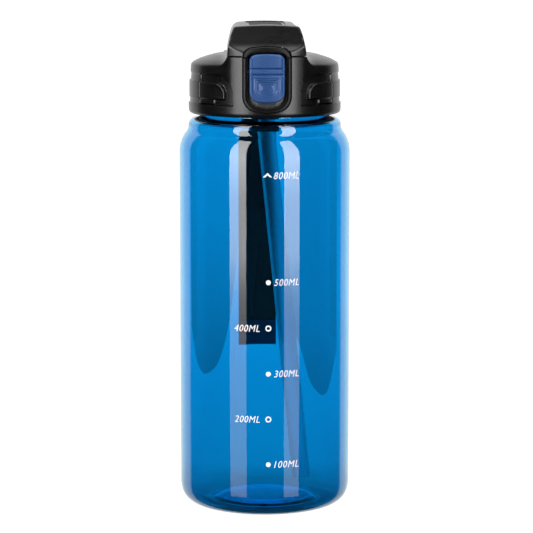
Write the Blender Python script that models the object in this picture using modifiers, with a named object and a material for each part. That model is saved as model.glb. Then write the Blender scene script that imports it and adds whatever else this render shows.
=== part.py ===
"""Sports water bottle with a push-button flip lid, as an assembly of separate pieces.

Metres, +Z up. The origin is the centre of the base on the surface that the bottle stands on.
The front, with the button, faces -Y, and the flip cover's hinge is at the back, +Y.
"""

from math import atan2, cos, pi, radians, sin, sqrt, tau

import bmesh
import bpy
from mathutils import Matrix

MM = 0.001
STEPS = 48  # facets round a turned piece
SMALL_STEPS = 28  # and round a small one
GAP = 0.3 * MM  # clearance between pieces that touch on the real object

# Bottle
BODY_R = 40.5 * MM
WALL = 1.9 * MM
BASE_CORNER = (9.4 * MM, 10.9 * MM)  # radial and upright half-axes of the rounded base corner
SHOULDER_Z = 170 * MM
SHOULDER_R = 15.7 * MM
SHOULDER_TURN = radians(37.7)
COLLAR_R = 36.2 * MM
COLLAR_FILLET = 4.7 * MM
NECK_R = 30.2 * MM
MOUTH_R = 27.6 * MM
RIM_Z = 203 * MM

# Screw thread between the bottle and the lid
THREAD_PITCH = 4.6 * MM
THREAD_TURNS = 1.25
THREAD_WIRE = 0.95 * MM
MALE_THREAD_R = 30.3 * MM
FEMALE_THREAD_R = 31.5 * MM
MALE_THREAD_Z = 193.4 * MM

# Lid
SKIRT_INNER_R = 33.4 * MM
PANEL_R = 36.1 * MM  # front panel that carries the button
BAND_R = 35.6 * MM  # rounded end of the raised band, just inside the band itself
PARTING_Z = 216.3 * MM
DECK_TOP = 206.9 * MM
CORE_R = 32.9 * MM
CORE_INNER_R = 31.6 * MM
TOWER_HALF_WIDTH = 18.9 * MM
BASIN_HALF_WIDTH = 16.4 * MM
POCKET_ANGLES = (radians(27), radians(61))  # grip pocket, from the front towards the side

# Flip cover
COVER_BOTTOM = PARTING_Z + 1.5 * GAP
COVER_TOP = 231.3 * MM
COVER_WALL = 1.8 * MM
HINGE_Y = 29.5 * MM
HINGE_Z = 216.0 * MM
BARREL_R = 2.2 * MM
HINGE_PIN_R = 0.9 * MM
LUG = (9.6 * MM, 12.4 * MM)  # inner and outer face of a hinge lug
KNUCKLE = (4.2 * MM, 9.3 * MM)

# Button
BUTTON_HALF_WIDTH = 8.25 * MM
BUTTON_BOTTOM = 195.4 * MM
BUTTON_TOP = 217.9 * MM
BUTTON_R = 36.7 * MM
PIVOT_Y = -31.6 * MM
PIVOT_Z = 209.7 * MM
PIVOT_PIN_R = 0.85 * MM
BEZEL_HALF_WIDTH = 11.2 * MM
BEZEL_BOTTOM = 191.3 * MM
BEZEL_TOP = 215.6 * MM
WELL_HALF_WIDTH = 8.9 * MM
WELL_BOTTOM = 193.4 * MM
ARCH_TOP = 221.2 * MM
ARCH_CORNER = (5.8 * MM, 4.1 * MM)

# Drinking parts
SPOUT_BORE = 3.1 * MM
VENT_Y = 18 * MM
STRAW_R = 4.2 * MM
STRAW_WALL = 0.9 * MM


# ---------------------------------------------------------------- scene and materials

for old in list(bpy.data.objects):
    bpy.data.objects.remove(old)

parts = bpy.data.collections.new("sports_bottle")
cutters = bpy.data.collections.new("cutters")
cutters.hide_render = True
for collection in (parts, cutters):
    bpy.context.scene.collection.children.link(collection)


def material(name, colour, roughness, metallic=0.0, alpha=1.0):
    made = bpy.data.materials.new(name)
    made.use_nodes = True
    shader = made.node_tree.nodes["Principled BSDF"]
    shader.inputs["Base Color"].default_value = (*colour, 1.0)
    shader.inputs["Roughness"].default_value = roughness
    shader.inputs["Metallic"].default_value = metallic
    shader.inputs["Alpha"].default_value = alpha
    return made


CLEAR_BLUE = material("clear_blue", (0.0, 0.21, 0.61), 0.05, alpha=0.45)
BLACK = material("black_shell", (0.018, 0.018, 0.019), 0.42)
BLACK_INNER = material("black_inner", (0.012, 0.012, 0.013), 0.5)
BUTTON_BLUE = material("button_blue", (0.045, 0.13, 0.32), 0.35)
SILICONE = material("clear_silicone", (0.62, 0.66, 0.70), 0.5)
DARK_SILICONE = material("dark_silicone", (0.03, 0.032, 0.035), 0.6)
STRAW_BLUE = material("straw_blue", (0.25, 0.48, 0.75), 0.25, alpha=0.6)
STEEL = material("spring_steel", (0.55, 0.55, 0.56), 0.3, 1.0)


# ---------------------------------------------------------------- modelling helpers


def place(name, mesh, finish=None):
    """Links a mesh as a part, or as a cutter when it has no finish."""
    made = bpy.data.objects.new(name, mesh)
    if finish is None:
        cutters.objects.link(made)
        made.hide_render = True
        made.display_type = "WIRE"
    else:
        parts.objects.link(made)
        mesh.materials.append(finish)
    mesh.shade_smooth()
    mesh.set_sharp_from_angle(angle=radians(32))
    return made


def arc(centre, radius, start, end, count):
    """Points along an arc or, with two radii, along an ellipse."""
    across, up = radius if isinstance(radius, tuple) else (radius, radius)
    turns = [start + (end - start) * i / (count - 1) for i in range(count)]
    return [(centre[0] + across * cos(t), centre[1] + up * sin(t)) for t in turns]


def turned(name, profile, finish=None, steps=STEPS):
    """A closed (radius, height) profile, listed down its outer side, turned about the Z axis."""
    mesh = bpy.data.meshes.new(name)
    count = len(profile)
    on_axis = profile[0][0] == 0 and profile[-1][0] == 0
    edges = [(i, (i + 1) % count) for i in range(count - 1 if on_axis else count)]
    mesh.from_pydata([(r, 0, z) for r, z in profile], edges, [])
    made = place(name, mesh, finish)
    screw = made.modifiers.new("turn", "SCREW")
    screw.steps = screw.render_steps = steps
    screw.use_merge_vertices = True
    screw.merge_threshold = 0.00001
    screw.use_smooth_shade = True
    return made


def slab(name, outline, low, high, across="Z", finish=None):
    """A closed outline extruded from low to high along an axis.
    The outline is (x, y) for Z, (x, z) for Y and (y, z) for X."""
    spots = {
        "Z": lambda a, b: (a, b, low),
        "Y": lambda a, b: (a, low, b),
        "X": lambda a, b: (low, a, b),
    }
    step = {"Z": (0, 0, high - low), "Y": (0, high - low, 0), "X": (high - low, 0, 0)}
    build = bmesh.new()
    face = build.faces.new([build.verts.new(spots[across](a, b)) for a, b in outline])
    grown = bmesh.ops.extrude_face_region(build, geom=[face], use_keep_orig=True)
    moved = [v for v in grown["geom"] if isinstance(v, bmesh.types.BMVert)]
    bmesh.ops.translate(build, verts=moved, vec=step[across])
    bmesh.ops.recalc_face_normals(build, faces=build.faces)
    mesh = bpy.data.meshes.new(name)
    build.to_mesh(mesh)
    build.free()
    return place(name, mesh, finish)


def box(name, low, high, finish=None):
    outline = [(low[0], low[1]), (high[0], low[1]), (high[0], high[1]), (low[0], high[1])]
    return slab(name, outline, low[2], high[2], finish=finish)


def rod(name, radius, x_low, x_high, y, z, finish=None, sides=24):
    """A cylinder that lies along X."""
    build = bmesh.new()
    lie = Matrix.Translation(((x_low + x_high) / 2, y, z)) @ Matrix.Rotation(pi / 2, 4, "Y")
    bmesh.ops.create_cone(build, cap_ends=True, segments=sides, radius1=radius,
                          radius2=radius, depth=x_high - x_low, matrix=lie)
    mesh = bpy.data.meshes.new(name)
    build.to_mesh(mesh)
    build.free()
    return place(name, mesh, finish)


def sector(name, inner, outer, low, high, start, end, steps=12):
    """A block of a ring between two angles, measured from the front (-Y) towards +X."""
    angles = [start + (end - start) * i / steps for i in range(steps + 1)]
    outside = [(outer * sin(a), -outer * cos(a)) for a in angles]
    inside = [(inner * sin(a), -inner * cos(a)) for a in reversed(angles)]
    return slab(name, outside + inside, low, high)


def wire(name, points, radius, finish=None, resolution=2, capped=True):
    """A round wire along points, as a closed mesh (or an open tube when it isn't capped)."""
    curve = bpy.data.curves.new(name, "CURVE")
    curve.dimensions = "3D"
    curve.bevel_depth = radius
    curve.bevel_resolution = resolution
    curve.use_fill_caps = capped
    spline = curve.splines.new("POLY")
    spline.points.add(len(points) - 1)
    for point, spot in zip(spline.points, points):
        point.co = (*spot, 1)
    guide = bpy.data.objects.new(name + "_guide", curve)
    parts.objects.link(guide)
    graph = bpy.context.evaluated_depsgraph_get()
    mesh = bpy.data.meshes.new_from_object(guide.evaluated_get(graph))
    bpy.data.objects.remove(guide)
    mesh.materials.clear()
    build = bmesh.new()
    build.from_mesh(mesh)
    bmesh.ops.remove_doubles(build, verts=build.verts, dist=0.000001)
    bmesh.ops.recalc_face_normals(build, faces=build.faces)
    build.to_mesh(mesh)
    build.free()
    return place(name, mesh, finish)


def combine(target, other, operation):
    step = target.modifiers.new(other.name, "BOOLEAN")
    step.object = other
    step.operation = operation
    step.solver = "EXACT"
    return target


def cut(target, *others):
    for other in others:
        combine(target, other, "DIFFERENCE")
    return target


def join(target, *others):
    for other in others:
        combine(target, other, "UNION")
    return target


def keep_inside(target, *others):
    for other in others:
        combine(target, other, "INTERSECT")
    return target


# ---------------------------------------------------------------- bottle


def helix(radius, low):
    """The thread's centre line, with 24 points a turn."""
    count = int(24 * THREAD_TURNS)
    angles = [THREAD_TURNS * tau * i / count for i in range(count + 1)]
    return [(radius * cos(a), radius * sin(a), low + THREAD_PITCH * a / tau) for a in angles]


def shoulder(inset):
    """The shoulder from the collar down to the straight body, moved inwards by inset."""
    fillet_z = SHOULDER_Z + (SHOULDER_R + COLLAR_FILLET) * sin(SHOULDER_TURN)
    hollow = (COLLAR_R + COLLAR_FILLET, fillet_z)
    crown = (BODY_R - SHOULDER_R, SHOULDER_Z)
    upper = arc(hollow, COLLAR_FILLET + inset, pi, pi + SHOULDER_TURN, 3)
    lower = arc(crown, SHOULDER_R - inset, SHOULDER_TURN, 0, 6)
    return upper + lower[1:]


def bottle():
    collar = [(30.6, 187.0), (31.4, 186.3), (33.4, 185.7), (35.2, 184.8), (36.0, 184.0)]
    corner_r, corner_z = BASE_CORNER
    outside = [(NECK_R, RIM_Z), (NECK_R, 188.0 * MM)]
    outside += [(r * MM, z * MM) for r, z in collar]
    outside += shoulder(0)
    outside += arc((BODY_R - corner_r, corner_z), BASE_CORNER, 0, -pi / 2, 7)
    punt = [(27.2, 0.0), (25.6, 0.8), (16.0, 2.6), (0.0, 3.4)]
    outside += [(r * MM, z * MM) for r, z in punt]
    floor = [(0.0, 5.6), (16.0, 4.8), (26.0, 3.0)]
    inside = [(r * MM, z * MM) for r, z in floor]
    inner_corner = (corner_r - 0.6 * MM, corner_z - 2.3 * MM)
    inside += arc((BODY_R - WALL - inner_corner[0], 2.3 * MM + inner_corner[1]),
                  inner_corner, -pi / 2, 0, 5)
    inside += reversed(shoulder(WALL))
    inside += [(33.2 * MM, 183.0 * MM), (MOUTH_R + 0.6 * MM, 185.4 * MM),
               (MOUTH_R, 187.0 * MM), (MOUTH_R, RIM_Z)]
    body = turned("bottle_body", outside + inside, CLEAR_BLUE)
    thread = wire("male_thread", helix(MALE_THREAD_R, MALE_THREAD_Z), THREAD_WIRE)
    return join(body, thread)


# ---------------------------------------------------------------- lid


def rear_corners(half_width, rear_y, corner):
    right = arc((half_width - corner, rear_y - corner), corner, 0, pi / 2, 6)
    left = arc((corner - half_width, rear_y - corner), corner, pi / 2, pi, 6)
    return right + left


def tower_outline(half_width, front_r, rear_y, corner):
    """Plan outline of the raised centre of the lid: an arc in front and round corners behind."""
    lean = atan2(half_width, sqrt(front_r**2 - half_width**2))
    front = arc((0, 0), front_r, -pi / 2 - lean, -pi / 2 + lean, 11)
    return front + rear_corners(half_width, rear_y, corner)


def bracket(name, x_low, x_high, y, z, radius, foot_z):
    """A flat bracket that stands on foot_z and ends in a round eye about an X-direction axis."""
    eye = arc((y, z), radius, -0.1 * pi, 1.1 * pi, 13)
    foot = [(eye[-1][0], foot_z), (eye[0][0], foot_z)]
    return slab(name, foot + eye, x_low, x_high, across="X")


def arched(half_width, low, high, low_corner, high_corner, low_sag=0.0, high_sag=0.0):
    """Front-view outline with round corners, given as a radius or as (across, up) half-axes.
    Its bottom and top edges bulge by a sag."""
    outline = []
    for corner, edge, sag, turns in (
        (low_corner, low, low_sag, (pi, 1.4 * pi, -0.4 * pi, 0)),
        (high_corner, high, -high_sag, (0, 0.4 * pi, 0.6 * pi, pi)),
    ):
        across, up = corner if isinstance(corner, tuple) else (corner, corner)
        side = -1 if edge == low else 1
        level = edge + sag - side * up
        outline += arc((side * (half_width - across), level), (across, up), *turns[:2], 5)
        outline += [(0, edge)] if sag else []
        outline += arc((-side * (half_width - across), level), (across, up), *turns[2:], 5)
    return outline


def shell():
    """Black outer cap: skirt with grip grooves, domed shoulder, raised centre and button well."""
    dome = [(0.0, 216.2), (23.2, 216.2), (24.6, 215.95), (26.2, 215.5), (28.3, 214.85),
            (30.8, 214.0), (32.6, 213.15), (33.6, 212.6), (34.3, 212.0), (34.7, 211.4)]
    skirt = [(34.95, 207.3), (34.9, 204.4), (35.7, 204.2), (35.75, 196.2), (35.4, 195.9),
             (35.4, 193.9), (36.0, 193.4), (35.95, 189.8), (35.4, 188.8), (34.8, 188.4)]
    inner = [(33.4, 188.4), (33.4, 209.6), (32.2, 211.3), (30.0, 212.5), (26.6, 213.7),
             (23.0, 214.3), (0.0, 214.3)]
    made = turned("lid_shell", [(r * MM, z * MM) for r, z in dome + skirt + inner], BLACK)

    start, end = POCKET_ANGLES
    for side in (-1, 1):
        tag = "left" if side < 0 else "right"
        low, high = sorted((side * start, side * end))
        pocket = sector("pocket_" + tag, 34.6 * MM, 40 * MM, 193.7 * MM, 207.7 * MM, low, high)
        low, high = sorted((side * (start + radians(6)), side * (end + radians(1))))
        nose = sector("nose_" + tag, 34.0 * MM, BAND_R, 196.4 * MM, 204.0 * MM, low, high)
        join(cut(made, pocket), nose)
    panel = sector("front_panel", SKIRT_INNER_R + 0.1 * MM, PANEL_R, 189.0 * MM, 213.5 * MM,
                   -start - radians(0.7), start + radians(0.7), 14)
    tower = slab("tower", tower_outline(TOWER_HALF_WIDTH, PANEL_R - GAP, 27.2 * MM, 12 * MM),
                 DECK_TOP + GAP, PARTING_Z)
    join(made, panel, tower)

    basin = [(-BASIN_HALF_WIDTH, -27.2 * MM), (BASIN_HALF_WIDTH, -27.2 * MM)]
    basin += rear_corners(BASIN_HALF_WIDTH, 24.6 * MM, 9.5 * MM)
    cut(made, slab("basin", basin, DECK_TOP - 1 * MM, COVER_TOP))
    cut(made, slab("bezel_seat", arched(BEZEL_HALF_WIDTH + GAP, BEZEL_BOTTOM - GAP, 230 * MM,
                                        7 * MM, 1 * MM, low_sag=0.8 * MM),
                   -40 * MM, -33.1 * MM, across="Y"))
    cut(made, slab("button_well", arched(WELL_HALF_WIDTH, WELL_BOTTOM, 230 * MM,
                                         5 * MM, 1 * MM, low_sag=0.9 * MM),
                   -40 * MM, -29.3 * MM, across="Y"))
    cut(made, box("cover_landing", (-14.8 * MM, 27.0 * MM, 213.3 * MM), (14.8 * MM, 40 * MM, 220 * MM)))
    cut(made, box("spring_slot", (-4.1 * MM, 23.0 * MM, 213.5 * MM), (-2.5 * MM, 28.0 * MM, 220 * MM)))
    for side in (-1, 1):
        tag = "left" if side < 0 else "right"
        low, high = sorted((side * LUG[0], side * LUG[1]))
        join(made, bracket("lug_" + tag, low, high, HINGE_Y, HINGE_Z, BARREL_R, 212.6 * MM))
    cut(made,
        rod("hinge_pin_bore", HINGE_PIN_R + GAP, -14 * MM, 14 * MM, HINGE_Y, HINGE_Z),
        rod("pivot_pin_bore", PIVOT_PIN_R + GAP, -12.2 * MM, 12.2 * MM, PIVOT_Y, PIVOT_Z))
    return made


def core():
    """Threaded inner cap: carries the deck, the seat for the mouthpiece and the straw spigot."""
    foot, under, nozzle = 189.3 * MM, DECK_TOP - 2 * MM, 196 * MM
    boss_r, boss_top, spigot_r = 6 * MM, 209.5 * MM, 5.2 * MM
    profile = [(SPOUT_BORE, boss_top), (boss_r, boss_top), (boss_r, DECK_TOP), (CORE_R, DECK_TOP),
               (CORE_R, foot), (CORE_INNER_R, foot), (CORE_INNER_R, under), (spigot_r, under),
               (spigot_r, nozzle), (SPOUT_BORE, nozzle)]
    made = turned("lid_core", profile, BLACK_INNER)
    thread = wire("female_thread", helix(FEMALE_THREAD_R, MALE_THREAD_Z - THREAD_PITCH / 2),
                  THREAD_WIRE)
    vent = turned("vent_hole", [(0, 210 * MM), (1.9 * MM, 210 * MM), (1.9 * MM, 200 * MM), (0, 200 * MM)])
    vent.location = (0, VENT_Y, 0)
    return cut(join(made, thread), vent)


def gasket():
    profile = [(27.8, 204.6), (29.9, 204.6), (30.0, 204.0), (29.8, 203.3), (27.9, 203.3), (27.7, 204.0)]
    return turned("neck_gasket", [(r * MM, z * MM) for r, z in profile], DARK_SILICONE)


def bezel():
    """U-shaped trim round the button, flush with the front panel."""
    outer = arched(BEZEL_HALF_WIDTH, BEZEL_BOTTOM, BEZEL_TOP, 7 * MM, 0.6 * MM, low_sag=0.8 * MM)
    inner = arched(WELL_HALF_WIDTH, WELL_BOTTOM, 230 * MM, 5 * MM, 1 * MM, low_sag=0.9 * MM)
    made = slab("button_bezel", outer, -40 * MM, -33.4 * MM, across="Y", finish=BLACK)
    cut(made, slab("bezel_opening", inner, -45 * MM, -30 * MM, across="Y"))
    front = turned("bezel_front", [(0, 230 * MM), (36.5 * MM, 230 * MM), (36.5 * MM, 180 * MM), (0, 180 * MM)])
    return keep_inside(made, front)


def button():
    """Rocker button: a curved plate with two pivot ears behind it and a hook at its top."""
    outline = arched(BUTTON_HALF_WIDTH, BUTTON_BOTTOM, BUTTON_TOP, 4.6 * MM, 3.0 * MM,
                     low_sag=0.9 * MM, high_sag=0.7 * MM)
    made = slab("push_button", outline, -40 * MM, -30 * MM, across="Y", finish=BUTTON_BLUE)
    plate = [(BUTTON_R, 230), (BUTTON_R, 180), (34.5 * MM, 180), (34.5 * MM, 230)]
    keep_inside(made, turned("button_plate", [(r, z * MM) for r, z in plate]))
    for side in (-1, 1):
        tag = "left" if side < 0 else "right"
        low, high = sorted((side * 4.3 * MM, side * 7.9 * MM))
        join(made,
             box("ear_arm_" + tag, (low + GAP, -35.0 * MM, 208.1 * MM), (high - GAP, PIVOT_Y, 211.3 * MM)),
             rod("ear_" + tag, 1.9 * MM, low, high, PIVOT_Y, PIVOT_Z))
    join(made, box("hook", (-5.5 * MM, -35.2 * MM, 216.4 * MM), (5.5 * MM, -31.95 * MM, 217.3 * MM)))
    for height in (211.1, 208.4):
        cut(made, box(f"button_groove_{height:.0f}", (-7.2 * MM, -40 * MM, (height - 0.35) * MM),
                      (7.2 * MM, -36.2 * MM, (height + 0.35) * MM)))
    return cut(made, rod("ear_bore", PIVOT_PIN_R + GAP, -10 * MM, 10 * MM, PIVOT_Y, PIVOT_Z))


def torsion_spring(name, y, z, coil_r, half_length, wire_r, first_leg, last_leg, start, turns):
    """Coil about an X-direction pin, with a straight leg at each end."""
    count = int(10 * turns)
    coil = []
    for i in range(count + 1):
        angle = start + tau * turns * i / count
        x = -half_length + 2 * half_length * i / count
        coil.append((x, y + coil_r * cos(angle), z + coil_r * sin(angle)))
    points = [(coil[0][0], *first_leg)] + coil + [(coil[-1][0], *last_leg)]
    return wire(name, points, wire_r, STEEL, resolution=1)


def hinge_and_pivot():
    rod("hinge_pin", HINGE_PIN_R, -12.4 * MM, 12.4 * MM, HINGE_Y, HINGE_Z, STEEL, 16)
    rod("button_pin", PIVOT_PIN_R, -11.8 * MM, 11.8 * MM, PIVOT_Y, PIVOT_Z, STEEL, 16)
    torsion_spring("hinge_spring", HINGE_Y, HINGE_Z, 1.72 * MM, 3.3 * MM, 0.32 * MM,
                   (25.4 * MM, HINGE_Z - 1.72 * MM), (25.4 * MM, HINGE_Z + 1.72 * MM),
                   -pi / 2, 5.0)
    torsion_spring("button_spring", PIVOT_Y, PIVOT_Z, 1.5 * MM, 3.2 * MM, 0.28 * MM,
                   (PIVOT_Y + 1.5 * MM, 213.6 * MM), (-33.75 * MM, 203.6 * MM), 0.0, 4.5)


# ---------------------------------------------------------------- drinking parts


def mouthpiece():
    """Soft nozzle that grips the boss on the deck."""
    outside = [(3.9, 226.0), (5.5, 225.6), (6.2, 224.5), (6.1, 223.0), (5.7, 221.5), (6.3, 216.0),
               (7.6, 210.6), (7.9, 208.7), (9.0, 208.5), (9.0, 207.2)]
    inside = [(6.3, 207.2), (6.3, 209.8), (3.1, 209.8), (3.1, 225.6)]
    return turned("mouthpiece", [(r * MM, z * MM) for r, z in outside + inside], SILICONE, SMALL_STEPS)


def spout_collar():
    """Snap ring that clamps the mouthpiece's flange to the deck."""
    profile = [(8.4, 210.2), (10.6, 210.2), (11.2, 209.6), (11.2, 207.2), (9.3, 207.2), (9.3, 208.8),
               (8.4, 208.8)]
    return turned("spout_collar", [(r * MM, z * MM) for r, z in profile], BLACK_INNER, SMALL_STEPS)


def straw_adapter():
    """Sleeve under the deck: its top grips the spigot and its bottom holds the straw."""
    profile = [(5.5, 204.6), (7.0, 204.6), (7.0, 181.0), (6.4, 180.0), (5.3, 180.0), (5.3, 190.0),
               (4.5, 191.0), (4.5, 195.4), (5.5, 195.7)]
    return turned("straw_adapter", [(r * MM, z * MM) for r, z in profile], DARK_SILICONE, SMALL_STEPS)


def straw():
    """Thin-walled tube that leaves the adapter and leans to the side of the bottle."""
    top, bend, foot = 195.0 * MM, 186.0 * MM, 12.0 * MM
    lean = 17.7 * MM / (bend - foot)
    points = [(0, 0, top), (0, 0, 191 * MM)]
    for i in range(6):
        along = i / 5
        points.append((lean * 8 * MM * along**2 / 2, 0, bend + (4 - 8 * along) * MM))
    start_x, _, start_z = points[-1]
    for i in range(1, 7):
        z = start_z + (foot - start_z) * i / 6
        points.append((start_x + lean * (start_z - z), 0, z))
    made = wire("straw", points, STRAW_R, STRAW_BLUE, resolution=4, capped=False)
    thick = made.modifiers.new("wall", "SOLIDIFY")
    thick.thickness = STRAW_WALL
    thick.offset = -1
    return made


def vent_valve():
    profile = [(0, 208.3), (2.6, 208.2), (3.6, 207.6), (3.6, 207.2), (1.5, 207.2), (1.5, 204.5),
               (2.5, 203.9), (1.2, 202.4), (0, 202.2)]
    made = turned("vent_valve", [(r * MM, z * MM) for r, z in profile], SILICONE, SMALL_STEPS)
    made.location = (0, VENT_Y, 0)
    return made


# ---------------------------------------------------------------- flip cover


def cover_form(name, inset, low, finish=None):
    """The cover's solid form: where its front, side and plan outlines overlap, moved in by inset."""
    edge = 16.0 * MM - inset
    roof = COVER_TOP - inset
    half = [(19.0, 216.0), (18.85, 218.7), (18.4, 221.5), (17.75, 224.3), (16.9, 227.2)]
    right = [(x * MM - inset, z * MM) for x, z in half]
    right[0] = (right[0][0], low)
    corner = arc((edge - 4.4 * MM, roof - 4.0 * MM), (4.6 * MM, 3.8 * MM), 0.1 * pi, pi / 2, 5)
    front_view = right + corner + [(0, roof)] + [(-x, z) for x, z in reversed(right + corner)]
    made = slab(name, front_view, -50 * MM, 50 * MM, across="Y", finish=finish)

    sweep = [(-36.0, 216.0), (-35.4, 217.5), (-33.7, 219.2), (-31.7, 221.2), (-30.0, 223.6), (-29.0, 226.4),
             (-28.6, 229.0)]
    front = [(y * MM + inset, z * MM) for y, z in sweep]
    front[0] = (front[0][0], low)
    front.append((front[-1][0], roof - 0.6 * MM))
    rear = [(17.5 * MM - inset / 2, roof), (20.0 * MM - inset, roof - 1.0 * MM),
            (28.6 * MM - 1.3 * inset, 219.3 * MM), (30.4 * MM - 1.3 * inset, 218.2 * MM - inset / 2),
            (30.8 * MM - 1.3 * inset, low)]
    side_view = front + [(-12 * MM, roof)] + rear
    keep_inside(made, slab(name + "_side", side_view, -50 * MM, 50 * MM, across="X"))
    plan = tower_outline(19.2 * MM - inset, PANEL_R - inset, 31.0 * MM - inset, 14 * MM - inset)
    return keep_inside(made, slab(name + "_plan", plan, 200 * MM, 240 * MM))


def cover():
    made = cover_form("flip_cover", 0, COVER_BOTTOM, BLACK)
    hollow = cover_form("cover_hollow", COVER_WALL, 210 * MM)
    cut(made, hollow)
    cut(made, slab("arch_seat", arched(11.3 * MM, 200 * MM, ARCH_TOP + GAP, 1 * MM, ARCH_CORNER, high_sag=0.4 * MM),
                   -45 * MM, -29.6 * MM, across="Y"))
    for side in (-1, 1):
        tag = "left" if side < 0 else "right"
        low, high = sorted((side * KNUCKLE[0], side * KNUCKLE[1]))
        join(made,
             box("knuckle_arm_" + tag, (low + GAP, 25.6 * MM, 217.0 * MM), (high - GAP, HINGE_Y, 218.1 * MM)),
             rod("knuckle_" + tag, BARREL_R, low, high, HINGE_Y, HINGE_Z))
        low, high = sorted((side * (LUG[0] - GAP), side * 16 * MM))
        cut(made, box("lug_notch_" + tag, (low, 26.4 * MM, 200 * MM), (high, 40 * MM, 218.7 * MM)))
    cut(made,
        box("spring_notch", (-KNUCKLE[0], 25.0 * MM, 200 * MM), (KNUCKLE[0], 40 * MM, 218.9 * MM)),
        rod("knuckle_bore", HINGE_PIN_R + GAP, -14 * MM, 14 * MM, HINGE_Y, HINGE_Z),
        box("grip_recess", (-9 * MM, -24 * MM, COVER_TOP - 0.9 * MM), (9 * MM, 12 * MM, COVER_TOP + 5 * MM)))
    return made


def catch_plate():
    """Arch over the button: it fills the notch in the cover and carries the ledge of the latch."""
    outer = arched(11.0 * MM, COVER_BOTTOM, ARCH_TOP, 0.2 * MM, (5.8 * MM, 3.7 * MM), high_sag=0.4 * MM)
    inner = arched(WELL_HALF_WIDTH, 200 * MM, 218.5 * MM, 1 * MM, 3.4 * MM, high_sag=0.6 * MM)
    made = slab("catch_plate", outer, -40 * MM, -29.9 * MM, across="Y", finish=BLACK)
    front = [(0, 230), (34.6, 230), (35.2, 221.2), (36.5, 216.0), (36.5, 180), (0, 180)]
    keep_inside(made, turned("arch_front", [(r * MM, z * MM) for r, z in front]))
    cut(made, slab("arch_opening", inner, -45 * MM, -31.6 * MM, across="Y"))
    return join(made, box("latch_ledge", (-5.5 * MM, -31.2 * MM, 214.7 * MM),
                          (5.5 * MM, -29.9 * MM, 217.5 * MM)))


def liner():
    """Flat inner panel of the cover, with the hole that holds the spout plug."""
    outline = arched(12.6 * MM, -23 * MM, 15 * MM, 4 * MM, 4 * MM)
    made = slab("cover_liner", outline, 227.3 * MM, 228.5 * MM, finish=BLACK_INNER)
    hole = turned("plug_hole", [(0, 235 * MM), (6.6 * MM, 235 * MM), (6.6 * MM, 220 * MM), (0, 220 * MM)])
    return cut(made, hole)


def spout_plug():
    """Soft pad that closes the mouthpiece: a flange above the liner and a pad below it."""
    profile = [(0, 229.3), (8.4, 229.3), (8.4, 228.8), (6.3, 228.8), (6.3, 226.6), (5.9, 226.3),
               (2.3, 226.3), (1.9, 225.6), (0, 225.4)]
    return turned("spout_plug", [(r * MM, z * MM) for r, z in profile], DARK_SILICONE, SMALL_STEPS)


bottle()
gasket()
shell()
core()
bezel()
hinge_and_pivot()
mouthpiece()
spout_collar()
straw_adapter()
straw()
vent_valve()
cover()
catch_plate()
liner()
spout_plug()
button()
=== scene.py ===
# %% [markdown]
# # A sports bottle with a push-button flip lid
# The CAD model gives every size and every joint. This script loads it as a fixed frame and builds
# the pieces that are seen on top of it, in the same place, with finer shapes and real finishes.

# %% Load the frame
from math import cos, pi, radians, sin, tau

import bmesh
import bpy
import numpy as np
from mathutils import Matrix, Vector


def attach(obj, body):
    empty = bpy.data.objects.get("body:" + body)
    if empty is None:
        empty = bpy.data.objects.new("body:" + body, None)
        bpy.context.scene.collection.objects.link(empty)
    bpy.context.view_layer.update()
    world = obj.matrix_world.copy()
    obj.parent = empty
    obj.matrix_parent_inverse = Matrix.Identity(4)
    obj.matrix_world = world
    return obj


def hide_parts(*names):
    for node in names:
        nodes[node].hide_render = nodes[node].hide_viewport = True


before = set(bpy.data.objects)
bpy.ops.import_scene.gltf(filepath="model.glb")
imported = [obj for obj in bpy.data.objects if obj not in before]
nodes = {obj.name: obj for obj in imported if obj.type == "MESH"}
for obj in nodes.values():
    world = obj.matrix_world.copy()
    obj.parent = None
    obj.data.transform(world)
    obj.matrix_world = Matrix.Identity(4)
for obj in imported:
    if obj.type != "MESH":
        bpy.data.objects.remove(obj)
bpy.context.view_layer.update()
MM = 0.001

# %% [markdown]
# ## Tools for shapes
# Most pieces of a bottle are skins: a profile turned round an axis, or a ring that changes as it
# climbs. Blender's Screw modifier would turn the round ones, but a grid of points handles both, so
# one helper joins any grid of points with quads and closes it.

# %% Lines and grids of points


def bend(centre, radii, start, end, count):
    """Points along an arc with its own radius across and up, in millimetres."""
    across, up = radii if isinstance(radii, tuple) else (radii, radii)
    turns = np.linspace(start, end, count)
    return [(centre[0] + across * cos(t), centre[1] + up * sin(t)) for t in turns]


def flow(points, per_span=5):
    """A smooth line that passes through every point (a Catmull-Rom curve)."""
    spots = np.array(points, float)
    padded = np.vstack([2 * spots[0] - spots[1], spots, 2 * spots[-1] - spots[-2]])
    line = []
    for i in range(len(spots) - 1):
        a, b, c, d = padded[i:i + 4]
        for t in np.linspace(0, 1, per_span, endpoint=False):
            cubic = (3 * b - a - 3 * c + d) * t**3
            line.append(0.5 * (2 * b + (c - a) * t + (2 * a - 5 * b + 4 * c - d) * t * t + cubic))
    return [tuple(p) for p in line] + [tuple(spots[-1])]


def round_grid(profile, steps):
    """A (radius, height) profile turned about the Z axis: one row for each point."""
    around = np.linspace(0, tau, steps, endpoint=False)
    radius, height = np.array(profile, float).T
    grid = np.empty((len(profile), steps, 3))
    grid[..., 0] = radius[:, None] * np.sin(around)
    grid[..., 1] = -radius[:, None] * np.cos(around)
    grid[..., 2] = height[:, None]
    return grid


def ease(low, high, value):
    """0 below low, 1 above high, and a soft step between."""
    t = np.clip((value - low) / (high - low), 0, 1)
    return t * t * (3 - 2 * t)


print("half way up a soft step:", float(ease(0, 10, 5)))

# %% Meshes from points


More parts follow.
